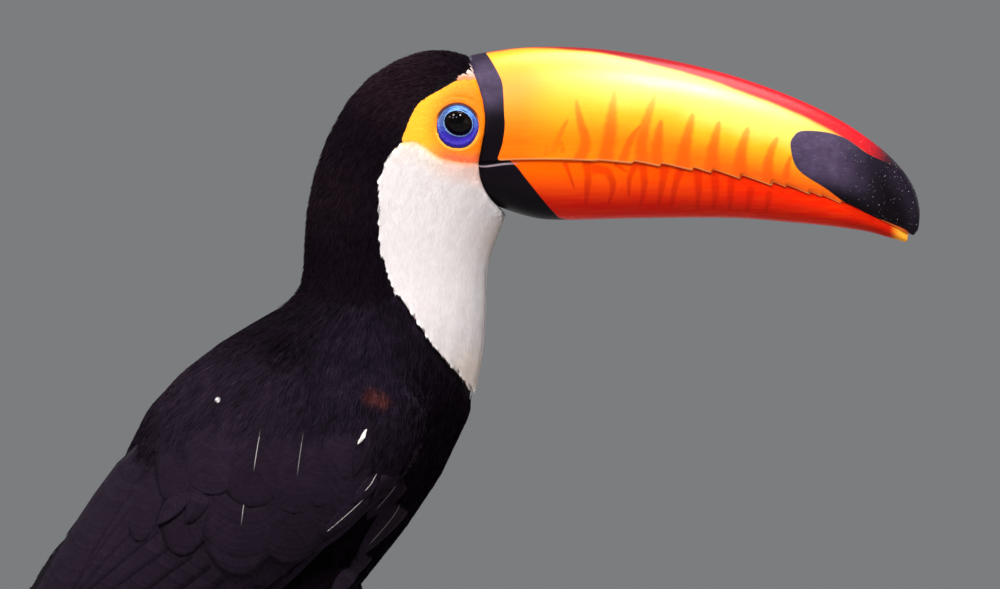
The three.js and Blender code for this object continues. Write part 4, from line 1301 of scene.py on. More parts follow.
# Low on the breast the white feathers hang over the border, so their roots keep back from it.
kept_back = 0.5 + 3.2 * np.clip((265 - Z) / 45, 0, 1)
throat = np.minimum.reduce([bib - kept_back, -bare + 0.3, face_line_at(Z) + 1.6 - X])
small = np.clip(np.minimum(-bare / 34, (bib + 4) / 14), 0, 1) * (Z < 330)
plumage_piece("bib_plumage", throat, 0.54 + 0.4 * small, down_tufts, white, BIB_COAT, 2)
_, across_wing = in_wing(X, Z)
on_mantle = inside_of(MANTLE, X, Z)
body = np.minimum.reduce([neck_line + 3 - Z, -bib - 0.3, -rump, np.maximum(1.0 - wing, on_mantle)])
long_size = np.clip(0.62 + (neck_line - Z) / 90, 0.62, 1)
long_size = np.where((wing > 1) & (on_mantle < 0), 0.5, long_size)
for name, part, seed in (
    ("mantle_plumage", across_wing - MANTLE_LINE, 3), ("breast_plumage", MANTLE_LINE - across_wing, 6),
):
    for side, on_side in (("right", -Y), ("left", Y)):
        plumage_piece(
            f"{name}_{side}", np.minimum.reduce([body, part, on_side]), long_size, long_tufts, black,
            BODY_COAT, seed + (side == "left"),
        )
plumage_piece(
    "uppertail_plumage", np.minimum(rump, over), 1.0, down_tufts, white, UPPERTAIL_COAT, 4
)
plumage_piece(
    "undertail_plumage", np.minimum(rump, -over), 1.0, down_tufts, red, UNDERTAIL_COAT, 5
)


# ---------------------------------------------------------------------------
# The wing feathers. Long stiff vanes on a shaft lie along the folded wing like
# tiles: primaries lowest, then secondaries and tertials, with the coverts over
# their roots and broad silky scapulars hanging from the back over them all.
# ---------------------------------------------------------------------------

VANE_THICK = 0.22
BARB_GAP, BARB_WIDE = 0.8, 0.26
BARB_SHARES = (0.06, 0.55, 1.0)  # a barb's stations, as shares of the vane's width
BARB_SEATS = (0, 0, 1, 1, 2)  # which station each of its five points stands at
VANE_ROWS = 15
VANE_COLUMNS = np.array([-1, -0.72, -0.4, -0.04, 0, 0.04, 0.4, 0.72, 1])


def on_wing(side):
    """The wing's outer face, from side-view places to points."""
    def surface(flat):
        x, z = flat[..., 0], flat[..., 1]
        return np.stack([x, side * wing_out(*in_wing(x, z)), z], axis=-1)
    return surface


def on_coat(side):
    """The coat's outer surface seen from one side, from side-view places to points."""
    def surface(flat):
        levels = [side * level_at(x, z, side) for x, z in flat.reshape(-1, 2)]
        return np.stack([flat[..., 0], np.reshape(levels, flat.shape[:-1]), flat[..., 1]], axis=-1)
    return surface


SHEAF = ("points", "faces", "across", "along", "aside", "tone", "pale", "corner")


def new_sheaf():
    """An empty sheaf of feathers: lists of its points, its faces and what each of them keeps."""
    return {key: [] for key in SHEAF} | {"count": 0}


def keep(sheaf, **values):
    """Adds to a sheaf's lists, in the order of its points."""
    for key, value in values.items():
        sheaf[key] += list(np.ravel(value))


def add_face(sheaf, feather, corners, first, turned, under=0):
    """Adds a face of points counted from first. Each corner is a point, its column and its row.

    On the bake map each feather has a cell, with its underside beside its top.
    """
    order = corners if turned else corners[::-1]
    sheaf["faces"].append([first + point for point, _, _ in order])
    for _, column, row in order:
        across = column / (len(VANE_COLUMNS) - 1) * 0.42 + 0.04 + 0.5 * under
        sheaf["corner"].append((feather, across, 0.04 + 0.92 * row / (VANE_ROWS - 1)))


def add_plate(sheaf, feather, top, bottom, normal):
    """Adds a vane's faces: its top, its underside and the edges between them."""
    wide, count, first = len(VANE_COLUMNS), top[..., 0].size, len(sheaf["points"])
    sheaf["points"] += [*top.reshape(-1, 3), *bottom.reshape(-1, 3)]
    # The faces point outwards when those of the top do.
    across_it = top[5, 8] - top[5, 0]
    along_it = top[7, 4] - top[5, 4]
    turned = np.dot(np.cross(along_it, across_it), normal[5, 4]) > 0

    def face(corners, under=0):
        places = [(below * count + i * wide + j, j, i) for i, j, below in corners]
        add_face(sheaf, feather, places, first, turned, under)

    last = wide - 1
    for i in range(VANE_ROWS - 1):
        for j in range(last):
            face([(i, j, 0), (i + 1, j, 0), (i + 1, j + 1, 0), (i, j + 1, 0)])
            face([(i, j, 1), (i, j + 1, 1), (i + 1, j + 1, 1), (i + 1, j, 1)], 1)
        face([(i, 0, 0), (i, 0, 1), (i + 1, 0, 1), (i + 1, 0, 0)])
        face([(i, last, 0), (i + 1, last, 0), (i + 1, last, 1), (i, last, 1)])
    for j in range(last):
        face([(0, j, 0), (0, j + 1, 0), (0, j + 1, 1), (0, j, 1)])


def barb_places(row, column, grids):
    """Points of some grids between their rows and columns."""
    i, j = np.minimum(row.astype(int), VANE_ROWS - 2), min(int(column), len(VANE_COLUMNS) - 2)
    u, v = (row - i)[:, None], column - j
    return [
        grid[i, j] * (1 - u) * (1 - v) + grid[i + 1, j] * u * (1 - v)
        + grid[i, j + 1] * (1 - u) * v + grid[i + 1, j + 1] * u * v
        for grid in grids
    ]


def lay(sheaf, surface, outwards, draw, path, half, level, lift, tilt, camber, tip, sharp,
        pale=(0, 0, 0), narrow=1.0, sink=0.0, sunk=0.5, ruffle=1.0, ease=0.25):
    """Lays one feather on a surface along a path: a thin closed vane with barbs over it.

    half is half its width. level is how high it lies, lift how much higher its tip does, tilt how
    much higher its hind vane does, and camber how high its shaft arches. tip is the share of its
    length that tapers, sharp how round that end is, narrow the width of its front vane as a share
    of the hind one, and pale where and how much its shaft shows white. sink is how deep its root
    lies in the coat, sunk the share of it that lies there, ease the share over which it comes
    out, and ruffle how much its barbs stand out.
    """
    line = through(path, steps=10)
    gone = np.concatenate([[0], np.cumsum(np.linalg.norm(np.diff(line, axis=0), axis=1))])
    along = 1 - (1 - np.linspace(0, 1, VANE_ROWS)) ** 1.6
    centre = np.stack([np.interp(along * gone[-1], gone, line[:, k]) for k in (0, 1)], axis=1)
    ahead = np.gradient(centre, along, axis=0)
    ahead /= np.linalg.norm(ahead, axis=1)[:, None]
    aside = np.stack([-ahead[:, 1], ahead[:, 0]], axis=1)
    stretch = np.linalg.norm(surface(centre + aside) - surface(centre - aside), axis=1) / 2
    taper = np.clip((along - (1 - tip)) / tip, 0, 1)
    width = half * np.minimum(1, 0.25 + 1.3 * along**0.6) * np.maximum(1 - taper**sharp, 0.0) ** (1 / sharp)
    columns = np.where(VANE_COLUMNS > 0, VANE_COLUMNS * narrow, VANE_COLUMNS)
    reach = np.tile(columns, (VANE_ROWS, 1))
    reach[:, [0, -1]] *= 1 + draw.uniform(-0.03, 0.02, (VANE_ROWS, 2))
    flat = centre[:, None] + aside[:, None] * (reach * (width / np.maximum(stretch, 1))[:, None])[..., None]
    at = surface(flat)
    normal = np.cross(surface(flat + [0.6, 0]) - at, surface(flat + [0, 0.6]) - at)
    normal /= np.maximum(np.linalg.norm(normal, axis=-1), 1e-9)[..., None]
    normal *= np.where(normal @ outwards < 0, -1, 1)[..., None]
    shaft = np.where(np.abs(VANE_COLUMNS) < 0.02, 1.0, 0.0) * 0.7 * camber * (1 - 0.7 * along[:, None])
    height = level + lift * (along[:, None] ** 1.5 - 0.4) + tilt * reach + camber * (1 - reach**2) + shaft
    height = height - sink * np.clip((sunk - along[:, None]) / ease, 0, 1)
    top = at + normal * height[..., None]
    bottom = at + normal * (height - VANE_THICK * (1 - along[:, None] ** 2))[..., None]
    tone = draw.uniform()
    feather = sheaf["count"]
    sheaf["count"] = feather + 1
    length = gone[-1]
    shown = np.where((along >= pale[0]) & (along <= pale[1]), pale[2], 0.0)
    add_plate(sheaf, feather, top, bottom, normal)
    wide = len(VANE_COLUMNS)
    for _ in (top, bottom):
        keep(
            sheaf, across=np.tile(VANE_COLUMNS, VANE_ROWS), along=np.repeat(along * length, wide),
            aside=reach * width[:, None], pale=np.repeat(shown, wide), tone=[tone] * (VANE_ROWS * wide),
        )

    # The barbs: flat strips that slant from the shaft to just past the vane's edge.
    barbs = int(length / BARB_GAP)
    begin = 0.12 + 0.86 * (np.arange(barbs) + draw.uniform(0, 0.6, barbs)) / barbs
    slant = np.interp(begin, along, width) * 0.9 / length
    for side in (-1, 1):
        over = draw.uniform(0.97, 1.1, barbs)
        stations = []
        for share in BARB_SHARES:
            row = np.interp(np.minimum(begin + slant * share * over, 1.0), along, np.arange(VANE_ROWS))
            column = np.interp(side * share, VANE_COLUMNS, np.arange(wide))
            stations.append((*barb_places(row, column, (top, normal)), row, column))
        rise = draw.uniform(0.03, 0.12, barbs) * ruffle
        shade = np.clip(tone + draw.uniform(-0.25, 0.25, barbs), 0, 1)
        roots, middles, ends = (station[0] + station[1] * rise[:, None] for station in stations)
        ends = middles + (ends - middles) * over[:, None]
        upwards = stations[1][1]
        span = np.cross(upwards, ends - roots)
        span *= (BARB_WIDE / np.maximum(np.linalg.norm(span, axis=1), 1e-9))[:, None]
        lean = upwards * draw.uniform(-0.035, 0.035, barbs)[:, None] * ruffle
        wider = span + lean
        strip = np.stack([roots - span, roots + span, middles - wider, middles + wider, ends], axis=1)
        rows_at = np.stack([stations[k][2] for k in BARB_SEATS], axis=1)
        columns_at = [stations[k][3] for k in BARB_SEATS]
        shares = [side * max(BARB_SHARES[k], 0.07) for k in BARB_SEATS]

        def at_rows(values):
            return np.interp(rows_at, np.arange(VANE_ROWS), values)

        first = len(sheaf["points"])
        sheaf["points"] += [*strip.reshape(-1, 3)]
        keep(
            sheaf, across=np.tile(shares, barbs), along=at_rows(along) * length,
            aside=at_rows(width) * shares, pale=at_rows(shown) * (pale[2] > 1),
            tone=np.repeat(shade, len(BARB_SEATS)),
        )
        facing = np.cross(strip[:, 1] - strip[:, 0], strip[:, 3] - strip[:, 0])
        facing = np.sum(facing * upwards, axis=1) > 0
        for k in range(barbs):
            for corners in ((0, 1, 3, 2), (2, 3, 4)):
                places = [(c, columns_at[c], rows_at[k, c]) for c in corners]
                add_face(sheaf, feather, places, first + len(BARB_SEATS) * k, facing[k])


def bound(name, sheaf):
    """All the feathers of a sheaf as one piece."""
    points = np.array(sheaf["points"])
    points[:, 2] = np.maximum(points[:, 2], 0.05)
    mesh = mesh_of(name, points, sheaf["faces"])
    for key in ("across", "along", "aside", "tone", "pale"):
        store(mesh, key, sheaf[key])
    cells = int(np.ceil(np.sqrt(sheaf["count"])))
    corner = np.array(sheaf["corner"])
    cell = np.stack([corner[:, 0] % cells, corner[:, 0] // cells], axis=1)
    store(mesh, "OFBake", (cell + corner[:, 1:]) / cells, "FLOAT2", "CORNER")
    # The two faces of each vane meet at its tip.
    mend(mesh, merge=2e-6, outwards=False)
    made = piece(name, mesh, flight_finish)
    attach(made, "root")
    return made


VANE_DARK, VANE_LIGHT = (0.0086, 0.0052, 0.0096), (0.0205, 0.0132, 0.0243)
VANE_DULL = (0.0075, 0.0038, 0.0078)
VANE_GLOSS, VANE_SHEEN = (0.7, 0.45, 0.85), (0.6, 0.4, 0.8)
WORN_AND_GLINT_WHITE = (0.8, 0.74, 0.72)


def vane_material():
    """Black vanes: barbs slanting from the shaft, faint growth bars and a purple sheen."""
    made, tree = surface_of("flight_feathers")
    along, aside, across, tone, pale = kept(tree, "along", "aside", "across", "tone", "pale")
    off_shaft = abs(aside)
    barbs_at = node(tree, "ShaderNodeCombineXYZ", along - off_shaft * 1.1, aside * 0.12, tone * 40.0)
    barbs = node(tree, "ShaderNodeTexNoise", barbs_at, 0.8, 2.0, 0.6)
    # Growth bars curve with the vane's tip.
    curved = along + aside * aside * 0.03
    bars = node(tree, "ShaderNodeCombineXYZ", curved * 0.75, tone, 0.0)
    bars = node(tree, "ShaderNodeTexNoise", bars, 1.0, 2.0, 0.5)
    share = barbs * 0.5 + bars * 0.5 + (tone - 0.5) * 0.15
    colour = tint(ramp(share, 0.2, 0.9), VANE_DARK, VANE_LIGHT)
    # The vanes are blacker and duller towards the breast.
    duller = ramp(xyz(here(tree))[0], (SHIFT - 32) * MM, (SHIFT - 8) * MM, 0.0, 0.72)
    colour = tint(duller, colour, VANE_DULL)
    # Some shafts are pale for a stretch, partly worn and partly a painted glint along them, and one small
    # feather is painted white all over as a glint, a painted highlight.
    shaft = ramp(off_shaft, 0.24, 0.06) * math("MINIMUM", pale, 0.6)
    painted_glint = ramp(pale, 1.2, 1.8) * ramp(abs(across), 1.1, 0.8)
    colour = tint(math("MAXIMUM", shaft, painted_glint), colour, WORN_AND_GLINT_WHITE)
    set_shader(tree, Base_Color=colour, Roughness=0.6, Normal=bump(barbs, 0.00015, 0.4))
    set_shader(tree, Specular_IOR_Level=0.022, Specular_Tint=VANE_GLOSS)
    set_shader(tree, Sheen_Weight=0.006, Sheen_Roughness=0.35, Sheen_Tint=VANE_SHEEN)
    return made


def wing_place(along, across):
    """A side-view place from a share along the wing and mm across its line."""
    return WING_BEND + WING_ALONG * along * WING_LONG + WING_ACROSS * across


# The scapulars, those below first: tip, half width, length, how high they lie and how pale a
# stretch of the shaft is. Their roots are hidden in the mantle.
SCAPULARS = [
    ((-121, 143), 10, 66, 0.0, 0), ((-33, 158), 9.5, 52, 0.0, 0), ((-103, 137.5), 13, 74, 0.06, 0),
    ((-41, 145), 14, 68, 0.05, 0), ((-58, 134), 17, 78, 0.1, 0), ((-79, 129.5), 17, 80, 0.22, 0.4),
    ((-107, 160), 12, 46, 0.12, 0), ((-33, 170), 11, 40, 0.1, 0), ((-91, 163), 16, 54, 0.16, 0),
    ((-44, 158), 16, 56, 0.14, 0), ((-55, 155), 16, 62, 0.18, 0.22), ((-73, 158), 16, 58, 0.22, 0.4),
]
SCAPULAR_LEAN = 0.45  # how much of the coat's backward lie they follow
# Feathers of the breast's side that hang over the wing's lower edge: root, tip, half width and
# how pale the shaft is.
BREAST_SIDE = [
    ((-14, 158), (-41, 118), 9, 0), ((1, 181), (-29.5, 135.5), 13.5, 0.3),
    ((-4, 187), (-25.2, 152.3), 11, 0.22), ((1, 197), (-14.1, 166), 8, 0.22),
]
# Feathers out of place: root, tip, half width, how far they stand off, their tilt, and how pale.
STRAYS = [
    ((-17, 176), (-30, 160), 3.2, 0.6, 0.2, (0.25, 0.6, 1.0)),
    ((-15, 173), (-41.5, 147.6), 4.5, 0.4, 0.2, (0.25, 0.97, 0.8)),
    ((-24, 196), (-29.5, 172), 3.2, 0.9, 0.4, (0, 0, 0)),
    # A thin sliver of feather painted white all over as a glint: a painted highlight.
    ((-24.2, 190.6), (-28.2, 184.6), 0.85, 2.2, 0.2, (0, 1, 2.0)),
    ((-97, 173), (-112, 150), 5.5, 0.7, 0.6, (0, 0, 0)),
    ((-92, 171), (-99, 151), 4.5, 0.9, -0.5, (0, 0, 0)),
]

# The flight feathers and coverts in rows, those that lie lowest first: how many, half width, level
# and its step, lift, tilt, camber, tapering share and its roundness.
ROWS = {
    "primaries": (8, 7.5, -2.2, 0.1, 0.3, 0.15, 0.2, 0.4, 1.5),
    "secondaries": (10, 8.5, -1.7, 0.07, 0.4, 0.18, 0.2, 0.22, 2.2),
    "tertials": (8, 11.5, -0.9, 0.18, 0.4, 0.12, 0.2, 0.3, 2.2),
    "greater_coverts": (7, 8, -1.0, 0.03, 0.5, 0.15, 0.2, 0.35, 2.0),
}


def row_path(row, i):
    """Where feather i of a row has its root, its middle and its tip, as shares along and mm across."""
    if row == "primaries":
        return (0.1 + 0.01 * i, 1 + 1.1 * i), (0.55, -2 + 1.6 * i), (0.995 - 0.04 * i, 20 - 1.5 * i)
    if row == "secondaries":
        return (0.2, 5 + 4.5 * i), (0.45, 3 + 4.8 * i), (0.66 + 0.022 * i, 3 + 4.2 * i)
    if row == "greater_coverts":
        return (0.06 + 0.008 * i, 4 + 5.5 * i), (0.22, 2 + 6 * i), (0.36 + 0.012 * i, 1 + 6 * i)
    # The innermost tertials run along the wing's upper edge.
    end = 0.78 + 0.022 * i
    edges = [wing_says(at)[1] - 4 for at in (0.5, end)]
    return (0.2, 20 + 6.5 * i), (0.5, min(25 + 7.6 * i, edges[0])), (end, min(28 + 8.4 * i, edges[1]))


def row_extras(row, i):
    """What sets feather i of a row apart: a pale stretch of shaft, narrow front vanes, a sunk root."""
    if row == "primaries":
        return {"pale": (0.06, 0.3, 0.7 if i < 2 else 0.0), "narrow": 0.6}
    if row == "tertials":
        return {"pale": (0.5, 0.56, 0.6 if i == 2 else 0.0), "sink": 2.8, "sunk": 0.45, "ruffle": 0.6}
    return {}


flight_finish = vane_material()
for side, name in ((-1, "right"), (1, "left")):
    draw = np.random.default_rng(40 + side)
    outwards = np.array([0, side, 0.35])
    wing_face, coat_face = on_wing(side), on_coat(side)
    flight = new_sheaf()
    for row, (count, half, level, step, *shape) in ROWS.items():
        for i in range(count):
            path = [wing_place(*place_at) for place_at in row_path(row, i)]
            extras = row_extras(row, i)
            lay(flight, wing_face, outwards, draw, path, half, level + step * i, *shape, **extras)
    bound(f"wing_feathers_{name}", flight)
    body = new_sheaf()
    worn = 1 if side < 0 else 0  # only the right wing has feathers out of place
    for i, (root, tip, half, pale) in enumerate(BREAST_SIDE):
        path = [root, ((root[0] + tip[0]) / 2 + 3, (root[1] + tip[1]) / 2 - 1.5), tip]
        lay(body, coat_face, outwards, draw, path, half, 0.1 + 0.3 * i, 0.5, 0.1, 0.2, 0.6, 1.25,
            (0.42, 0.85, pale * worn), narrow=0.7, sink=4.4, sunk=0.52, ruffle=0.5)
    for (x, z), half, length, level, pale in SCAPULARS:
        away = lie_at(np.array([x]), np.array([z + length / 2]), np.zeros((1, 3)))[0]
        back = -away[0] * length * SCAPULAR_LEAN
        path = [(x + back, z + length), (x + back * 0.4, z + length * 0.5), (x, z)]
        lay(body, coat_face, outwards, draw, path, half, level, 0.06, 0.0, 0.42, 0.34, 2.1,
            (0.5, 0.72, pale * worn), sink=2.4, sunk=0.68, ruffle=0.3, ease=0.5)
    for root, tip, half, off, slant, pale in STRAYS * worn:
        path = [root, ((root[0] + tip[0]) / 2 + min(1.5, half / 3), (root[1] + tip[1]) / 2), tip]
        lay(body, coat_face, outwards, draw, path, half, off, 0.8, slant, 0.6, 0.5, 1.6, pale, sink=1.5)
    bound(f"scapulars_{name}", body)


# ---------------------------------------------------------------------------
# The tail. Ten long square-ended feathers, closed like a fan with the middle
# pair on top, bend down to the floor at their tips.
# ---------------------------------------------------------------------------

TAIL_LONG, TAIL_SLOPES = 156.0, np.radians([33, 24.9])
TAIL_PAIRS = 5


def on_tail(flat):
    """The tail's upper face: mm to one side and mm along it, to points."""
    y, along = flat[..., 0], flat[..., 1] / TAIL_LONG
    slope = TAIL_SLOPES[0] + (TAIL_SLOPES[1] - TAIL_SLOPES[0]) * along
    bend = TAIL_LONG / (TAIL_SLOPES[0] - TAIL_SLOPES[1])
    x = TAIL_ROOT[0] - bend * (np.sin(TAIL_SLOPES[0]) - np.sin(slope))
    z = TAIL_ROOT[1] - bend * (np.cos(slope) - np.cos(TAIL_SLOPES[0]))
    rise = 1.4 - 3.0 * (y / 33) ** 2
    return np.stack([x - np.sin(slope) * rise, y, z + np.cos(slope) * rise], axis=-1)


draw = np.random.default_rng(7)
fan = new_sheaf()
for pair in reversed(range(TAIL_PAIRS)):
    for side in (-1, 1):
        root = (side * (1.5 + 2.1 * pair), -16)
        middle = (side * (3.2 + 4.6 * pair), TAIL_LONG * 0.45)
        tip = (side * (4.2 + 5.6 * pair), TAIL_LONG * (0.998 - 0.004 * pair - 0.0035 * pair**2))
        level = -0.55 * pair + 0.1 * side
        lay(fan, on_tail, np.array([-0.4, 0, 0.9]), draw, [root, middle, tip], 9.5 - 0.2 * pair, level,
            0.1, 0.25, 0.45, 0.16, 2.4, (0.3, 0.8, 0.5 if pair == 0 else 0))
tail = bound("tail_feathers", fan)
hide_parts("tail")


# ---------------------------------------------------------------------------
# The legs. Blue-grey scaly skin over thin bones: broad plates down the front of
# the shank and along the toes, small round scales elsewhere, and dark curved
# claws. Two toes point forwards and two back, flat on the floor.
# ---------------------------------------------------------------------------

FOOT_OUT = 23.0
ANKLE, FOOT = np.array([-68.0, 55.0]), np.array([-46.0, 5.4])
TOE_HEIGHT = 2.5
PLATE_PITCH = 2.4  # from one broad plate to the next
SCALE_PITCH = 1.3
PLATE_HIGH, SCALE_HIGH = 0.22, 0.10
# How many rows of points each part has along it, and how many round it.
SHANK_MESH, TOE_MESH, CLAW_MESH = (150, 40), (90, 32), (40, 20)
SHANK = [
    (ANKLE + [3.4, 10], 4.4, 4.2), (ANKLE + [2.4, 5], 4.6, 4.4), (ANKLE + [0, -2], 5, 4.6),
    (ANKLE + [5, -14], 3.5, 3.2), (ANKLE + [12, -30], 3.2, 3), (FOOT + [-2.6, 8], 4, 4.4),
    (FOOT + [-0.6, 0], 5.6, 6.4), (FOOT + [0, -3], 5.9, 6.8),
]
# Where each toe leaves the foot, its heading inwards of straight ahead, and its length.
TOES = {
    "inner_front": (1, 3.2, 12, 28), "outer_front": (1, -3.2, -14, 37),
    "outer_back": (-1, -3.4, -146, 34), "inner_back": (-1, 3, 158, 20),
}


def tube(stations, size, relief=None):
    """A limb in the side view: its points, how far along it each lies and its angle round it."""
    rows, round_it = size
    at = np.linspace(0, len(stations) - 1, rows)
    flat = between([(*middle, deep, wide) for middle, deep, wide in stations], at)
    ahead = np.gradient(flat[:, :2], axis=0)
    ahead /= np.linalg.norm(ahead, axis=1)[:, None]
    upwards = np.stack([-ahead[:, 1], ahead[:, 0]], axis=1)
    gone = np.concatenate([[0], np.cumsum(np.linalg.norm(np.diff(flat[:, :2], axis=0), axis=1))])
    angle = 2 * np.pi * np.arange(round_it) / round_it
    rise, side = np.cos(angle), np.sin(angle)
    swell = np.zeros((rows, round_it)) if relief is None else relief(gone[:, None], angle[None, :])
    out = flat[:, None, 2] + swell
    wide = flat[:, None, 3] + swell
    x = flat[:, None, 0] + upwards[:, None, 0] * rise * out
    z = flat[:, None, 1] + upwards[:, None, 1] * rise * out
    grid = np.stack([x, wide * side, z], axis=-1)
    ends = np.stack([grid[0].mean(axis=0), grid[-1].mean(axis=0)])
    return np.concatenate([grid.reshape(-1, 3), ends]), np.repeat(gone, round_it), np.tile(angle, rows)


def in_front(angle):
    """1 on the side of a limb that faces forwards or up, 0 behind."""
    return np.clip(1.4 * np.cos(angle) + 0.35, 0, 1)


def leg_scales(gone, angle):
    """Overlapping plates on the front of a limb, small scales behind."""
    plate = PLATE_HIGH * ((gone / PLATE_PITCH) % 1.0 - 0.5) * in_front(angle)
    scales = SCALE_HIGH * np.sin(gone * 2 * np.pi / SCALE_PITCH) * np.sin(angle * 9) * (1 - in_front(angle))
    return plate + scales


BLUE_SKIN = ((0.085, 0.155, 0.26), (0.17, 0.27, 0.40))  # from dark to light
SEAM_SKIN, GROOVE_SKIN, DUSTY_SKIN = (0.03, 0.05, 0.08), (0.025, 0.04, 0.065), (0.3, 0.29, 0.26)
CLAW_HORN = ((0.008, 0.007, 0.008), (0.035, 0.03, 0.03))


def leg_material():
    made, tree = surface_of("leg_skin")
    scales = node(tree, "ShaderNodeTexVoronoi", here(tree), 800.0, feature="DISTANCE_TO_EDGE")
    seams = ramp(scales, 0.02, 0.16)
    colour = tint(noise(tree, 260, 4), *BLUE_SKIN)
    colour = tint(ramp(seams, 1.0, 0.0) * 0.65, colour, SEAM_SKIN)
    step = math("FRACT", kept(tree, "gone") * (1 / PLATE_PITCH))
    groove = ramp(step, 0.82, 1.0) * kept(tree, "front")
    colour = tint(groove * 0.6, colour, GROOVE_SKIN)
    colour = tint(noise(tree, 90, 3) * 0.3, colour, DUSTY_SKIN)
    relief = bump(noise(tree, 1400, 3), 0.0001, 0.5, bump(seams, 0.00025, 0.7))
    set_shader(tree, Base_Color=colour, Roughness=0.5, Normal=relief, Specular_IOR_Level=0.4)
    return made


def claw_material():
    made, tree = surface_of("claw")
    grown = noise(tree, 900, 3, 0.6, (0.2, 1, 1))
    set_shader(tree, Base_Color=tint(grown, *CLAW_HORN), Roughness=0.3, Normal=bump(grown, 0.0001, 0.5))
    return made


def limb_piece(name, points, gone, turn, size, finish, solid):
    """A limb's points as a piece that keeps how far along it and how far in front they are."""
    points[:, 2] = np.maximum(points[:, 2], 0.0)
    mesh = mesh_of(name, points, shut(*size))
    store(mesh, "gone", np.append(gone, [gone[0], gone[-1]]))
    store(mesh, "front", np.append(in_front(turn), [0, 0]))
    mend(mesh)
    made = piece(name, mesh, finish)
    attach(made, "root")
    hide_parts(solid)


leg_finish, claw_finish = leg_material(), claw_material()
for side, name in ((-1, "right"), (1, "left")):
    points, gone, turn = tube(SHANK, SHANK_MESH, leg_scales)
    points += [0, side * FOOT_OUT, 0]
    limb_piece(f"shank_skin_{name}", points, gone, turn, SHANK_MESH, leg_finish, f"shank_{name}")
    for toe, (ahead, inwards, heading, length) in TOES.items():
        bone = [
            ((-1, 6), 3.0, 2.9), ((7, 5), 3.3, 3.1), ((length * 0.3, TOE_HEIGHT + 1.2), 3.0, 3.0),
            ((length * 0.45, TOE_HEIGHT + 0.4), 3.0, 3.0), ((length * 0.6, TOE_HEIGHT + 0.1), 2.7, 2.75),
            ((length * 0.72, TOE_HEIGHT), 2.85, 2.8), ((length * 0.85, TOE_HEIGHT), 2.55, 2.5),
            ((length * 0.95, TOE_HEIGHT), 2.6, 2.5), ((length + 0.6, TOE_HEIGHT + 0.3), 1.9, 1.8),
        ]
        horn = [
            ((length - 1.5, TOE_HEIGHT + 0.6), 1.7, 1.4), ((length + 1, TOE_HEIGHT + 0.9), 1.9, 1.5),
            ((length + 4, TOE_HEIGHT + 1.3), 1.7, 1.2), ((length + 8, TOE_HEIGHT + 0.5), 1.2, 0.8),
            ((length + 11.5, TOE_HEIGHT - 1.6), 0.35, 0.25),
        ]
        angle = np.radians(heading)
        turn_it = np.array([[np.cos(angle), np.sin(angle), 0], [-np.sin(angle), np.cos(angle), 0], [0, 0, 1]])
        for part, called, stations, size, relief, finish, slot in (
            ("toe", "toe_skin", bone, TOE_MESH, leg_scales, leg_finish, "leg_skin"),
            ("claw", "claw_horn", horn, CLAW_MESH, None, claw_finish, "claw"),
        ):
            points, gone, turn = tube(stations, size, relief)
            points = points @ turn_it + [FOOT[0] + ahead, inwards, 0]
            # Drawn for the right foot; the left is its mirror image.
            points[:, 1] = side * (FOOT_OUT - points[:, 1])
            limb_piece(f"{called}_{toe}_{name}", points, gone, turn, size, finish,
                       f"{part}_{toe}_{name}")


# ---------------------------------------------------------------------------
# The studio: a pale round floor, soft lamps over it and the camera at the
# bird's right, level with its breast.
# ---------------------------------------------------------------------------

VIEW = 430.0  # mm across the picture
FOCAL, SENSOR = 200.0, 36.0
CAMERA_OVER_EYE = (18.06, -73.6)
FLOOR_RADIUS = 2.1  # metres
FLOOR_GREY = ((0.245, 0.245, 0.24), (0.27, 0.267, 0.262))
SKY_GREY = (0.62, 0.64, 0.66)
LAMP_AIM = (0, 0, 0.2)
WARM, WARMER = (1, 0.99, 0.97), (1, 0.98, 0.95)
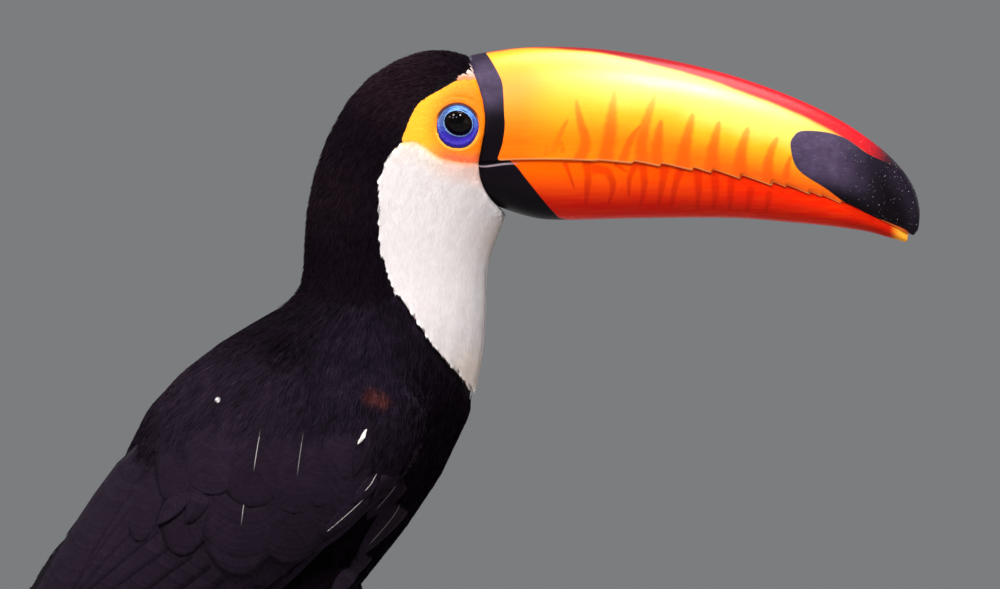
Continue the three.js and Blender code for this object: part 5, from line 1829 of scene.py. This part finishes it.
# Each lamp's place, how wide it is, its watts and its colour.
LAMPS = [
    ("key", (-0.8, -1.05, 1.75), 0.4, 21, WARMER),
    ("second_key", (0.6, -1.2, 1.75), 0.32, 27.5, WARMER),
    ("front_low", (1.85, -0.95, 0.15), 1.6, 6, WARM),
    ("side_high", (-0.23, -1.59, 1.32), 0.18, 4.5, WARM),
    ("side_middle", (-0.93, -1.37, 1.2), 0.2, 5, WARM),
    ("side_low", (-1.45, -0.7, 1.26), 0.2, 5, WARM),
    ("overhead", (0.4, -0.1, 1.8), 1.1, 24, (1, 1, 1)),
    ("fill", (1.8, 1.0, 0.9), 1.2, 4, (0.95, 0.98, 1)),
    ("back", (-1.2, 1.5, 1.5), 1.0, 14, (0.93, 0.96, 1)),
]


def lamp(name, place_at, size, power, colour):
    """A round soft lamp that hangs at a place and shines at the bird's middle."""
    light = bpy.data.lights.new(name, "AREA")
    light.shape = "DISK"
    light.size = size
    light.energy = power
    light.color = colour
    made = bpy.data.objects.new(name, light)
    made.location = place_at
    made.rotation_euler = (Vector(LAMP_AIM) - Vector(place_at)).to_track_quat("-Z", "Y").to_euler()
    bpy.context.scene.collection.objects.link(made)


def studio():
    ring = bmesh.new()
    bmesh.ops.create_circle(ring, cap_ends=True, radius=FLOOR_RADIUS, segments=128)
    mesh = bpy.data.meshes.new("floor")
    ring.to_mesh(mesh)
    ring.free()
    made, tree = surface_of("floor")
    shade = tint(noise(tree, 14, 2), *FLOOR_GREY)
    set_shader(tree, Base_Color=shade, Roughness=0.8, Normal=bump(noise(tree, 300), 0.0003, 0.3))
    piece("floor", mesh, made)
    world = bpy.data.worlds.new("studio")
    world.use_nodes = True
    background = world.node_tree.nodes["Background"]
    plug(background.inputs["Color"], SKY_GREY)
    plug(background.inputs["Strength"], 0.32)
    bpy.context.scene.world = world
    for name, place_at, size, power, colour in LAMPS:
        lamp(name, place_at, size, power, colour)


def camera():
    data = bpy.data.cameras.new("camera")
    data.lens, data.sensor_width = FOCAL, SENSOR
    data.clip_end = 30
    made = bpy.data.objects.new("camera", data)
    away = VIEW * FOCAL / SENSOR
    made.location = ((EYE.x + CAMERA_OVER_EYE[0]) * MM, -away * MM, (EYE.z + CAMERA_OVER_EYE[1]) * MM)
    made.rotation_euler = (np.pi / 2, 0, 0)
    bpy.context.scene.collection.objects.link(made)
    bpy.context.scene.camera = made


studio()
camera()
bpy.context.scene.view_settings.view_transform = "Standard"
bpy.data.objects.remove(coat)
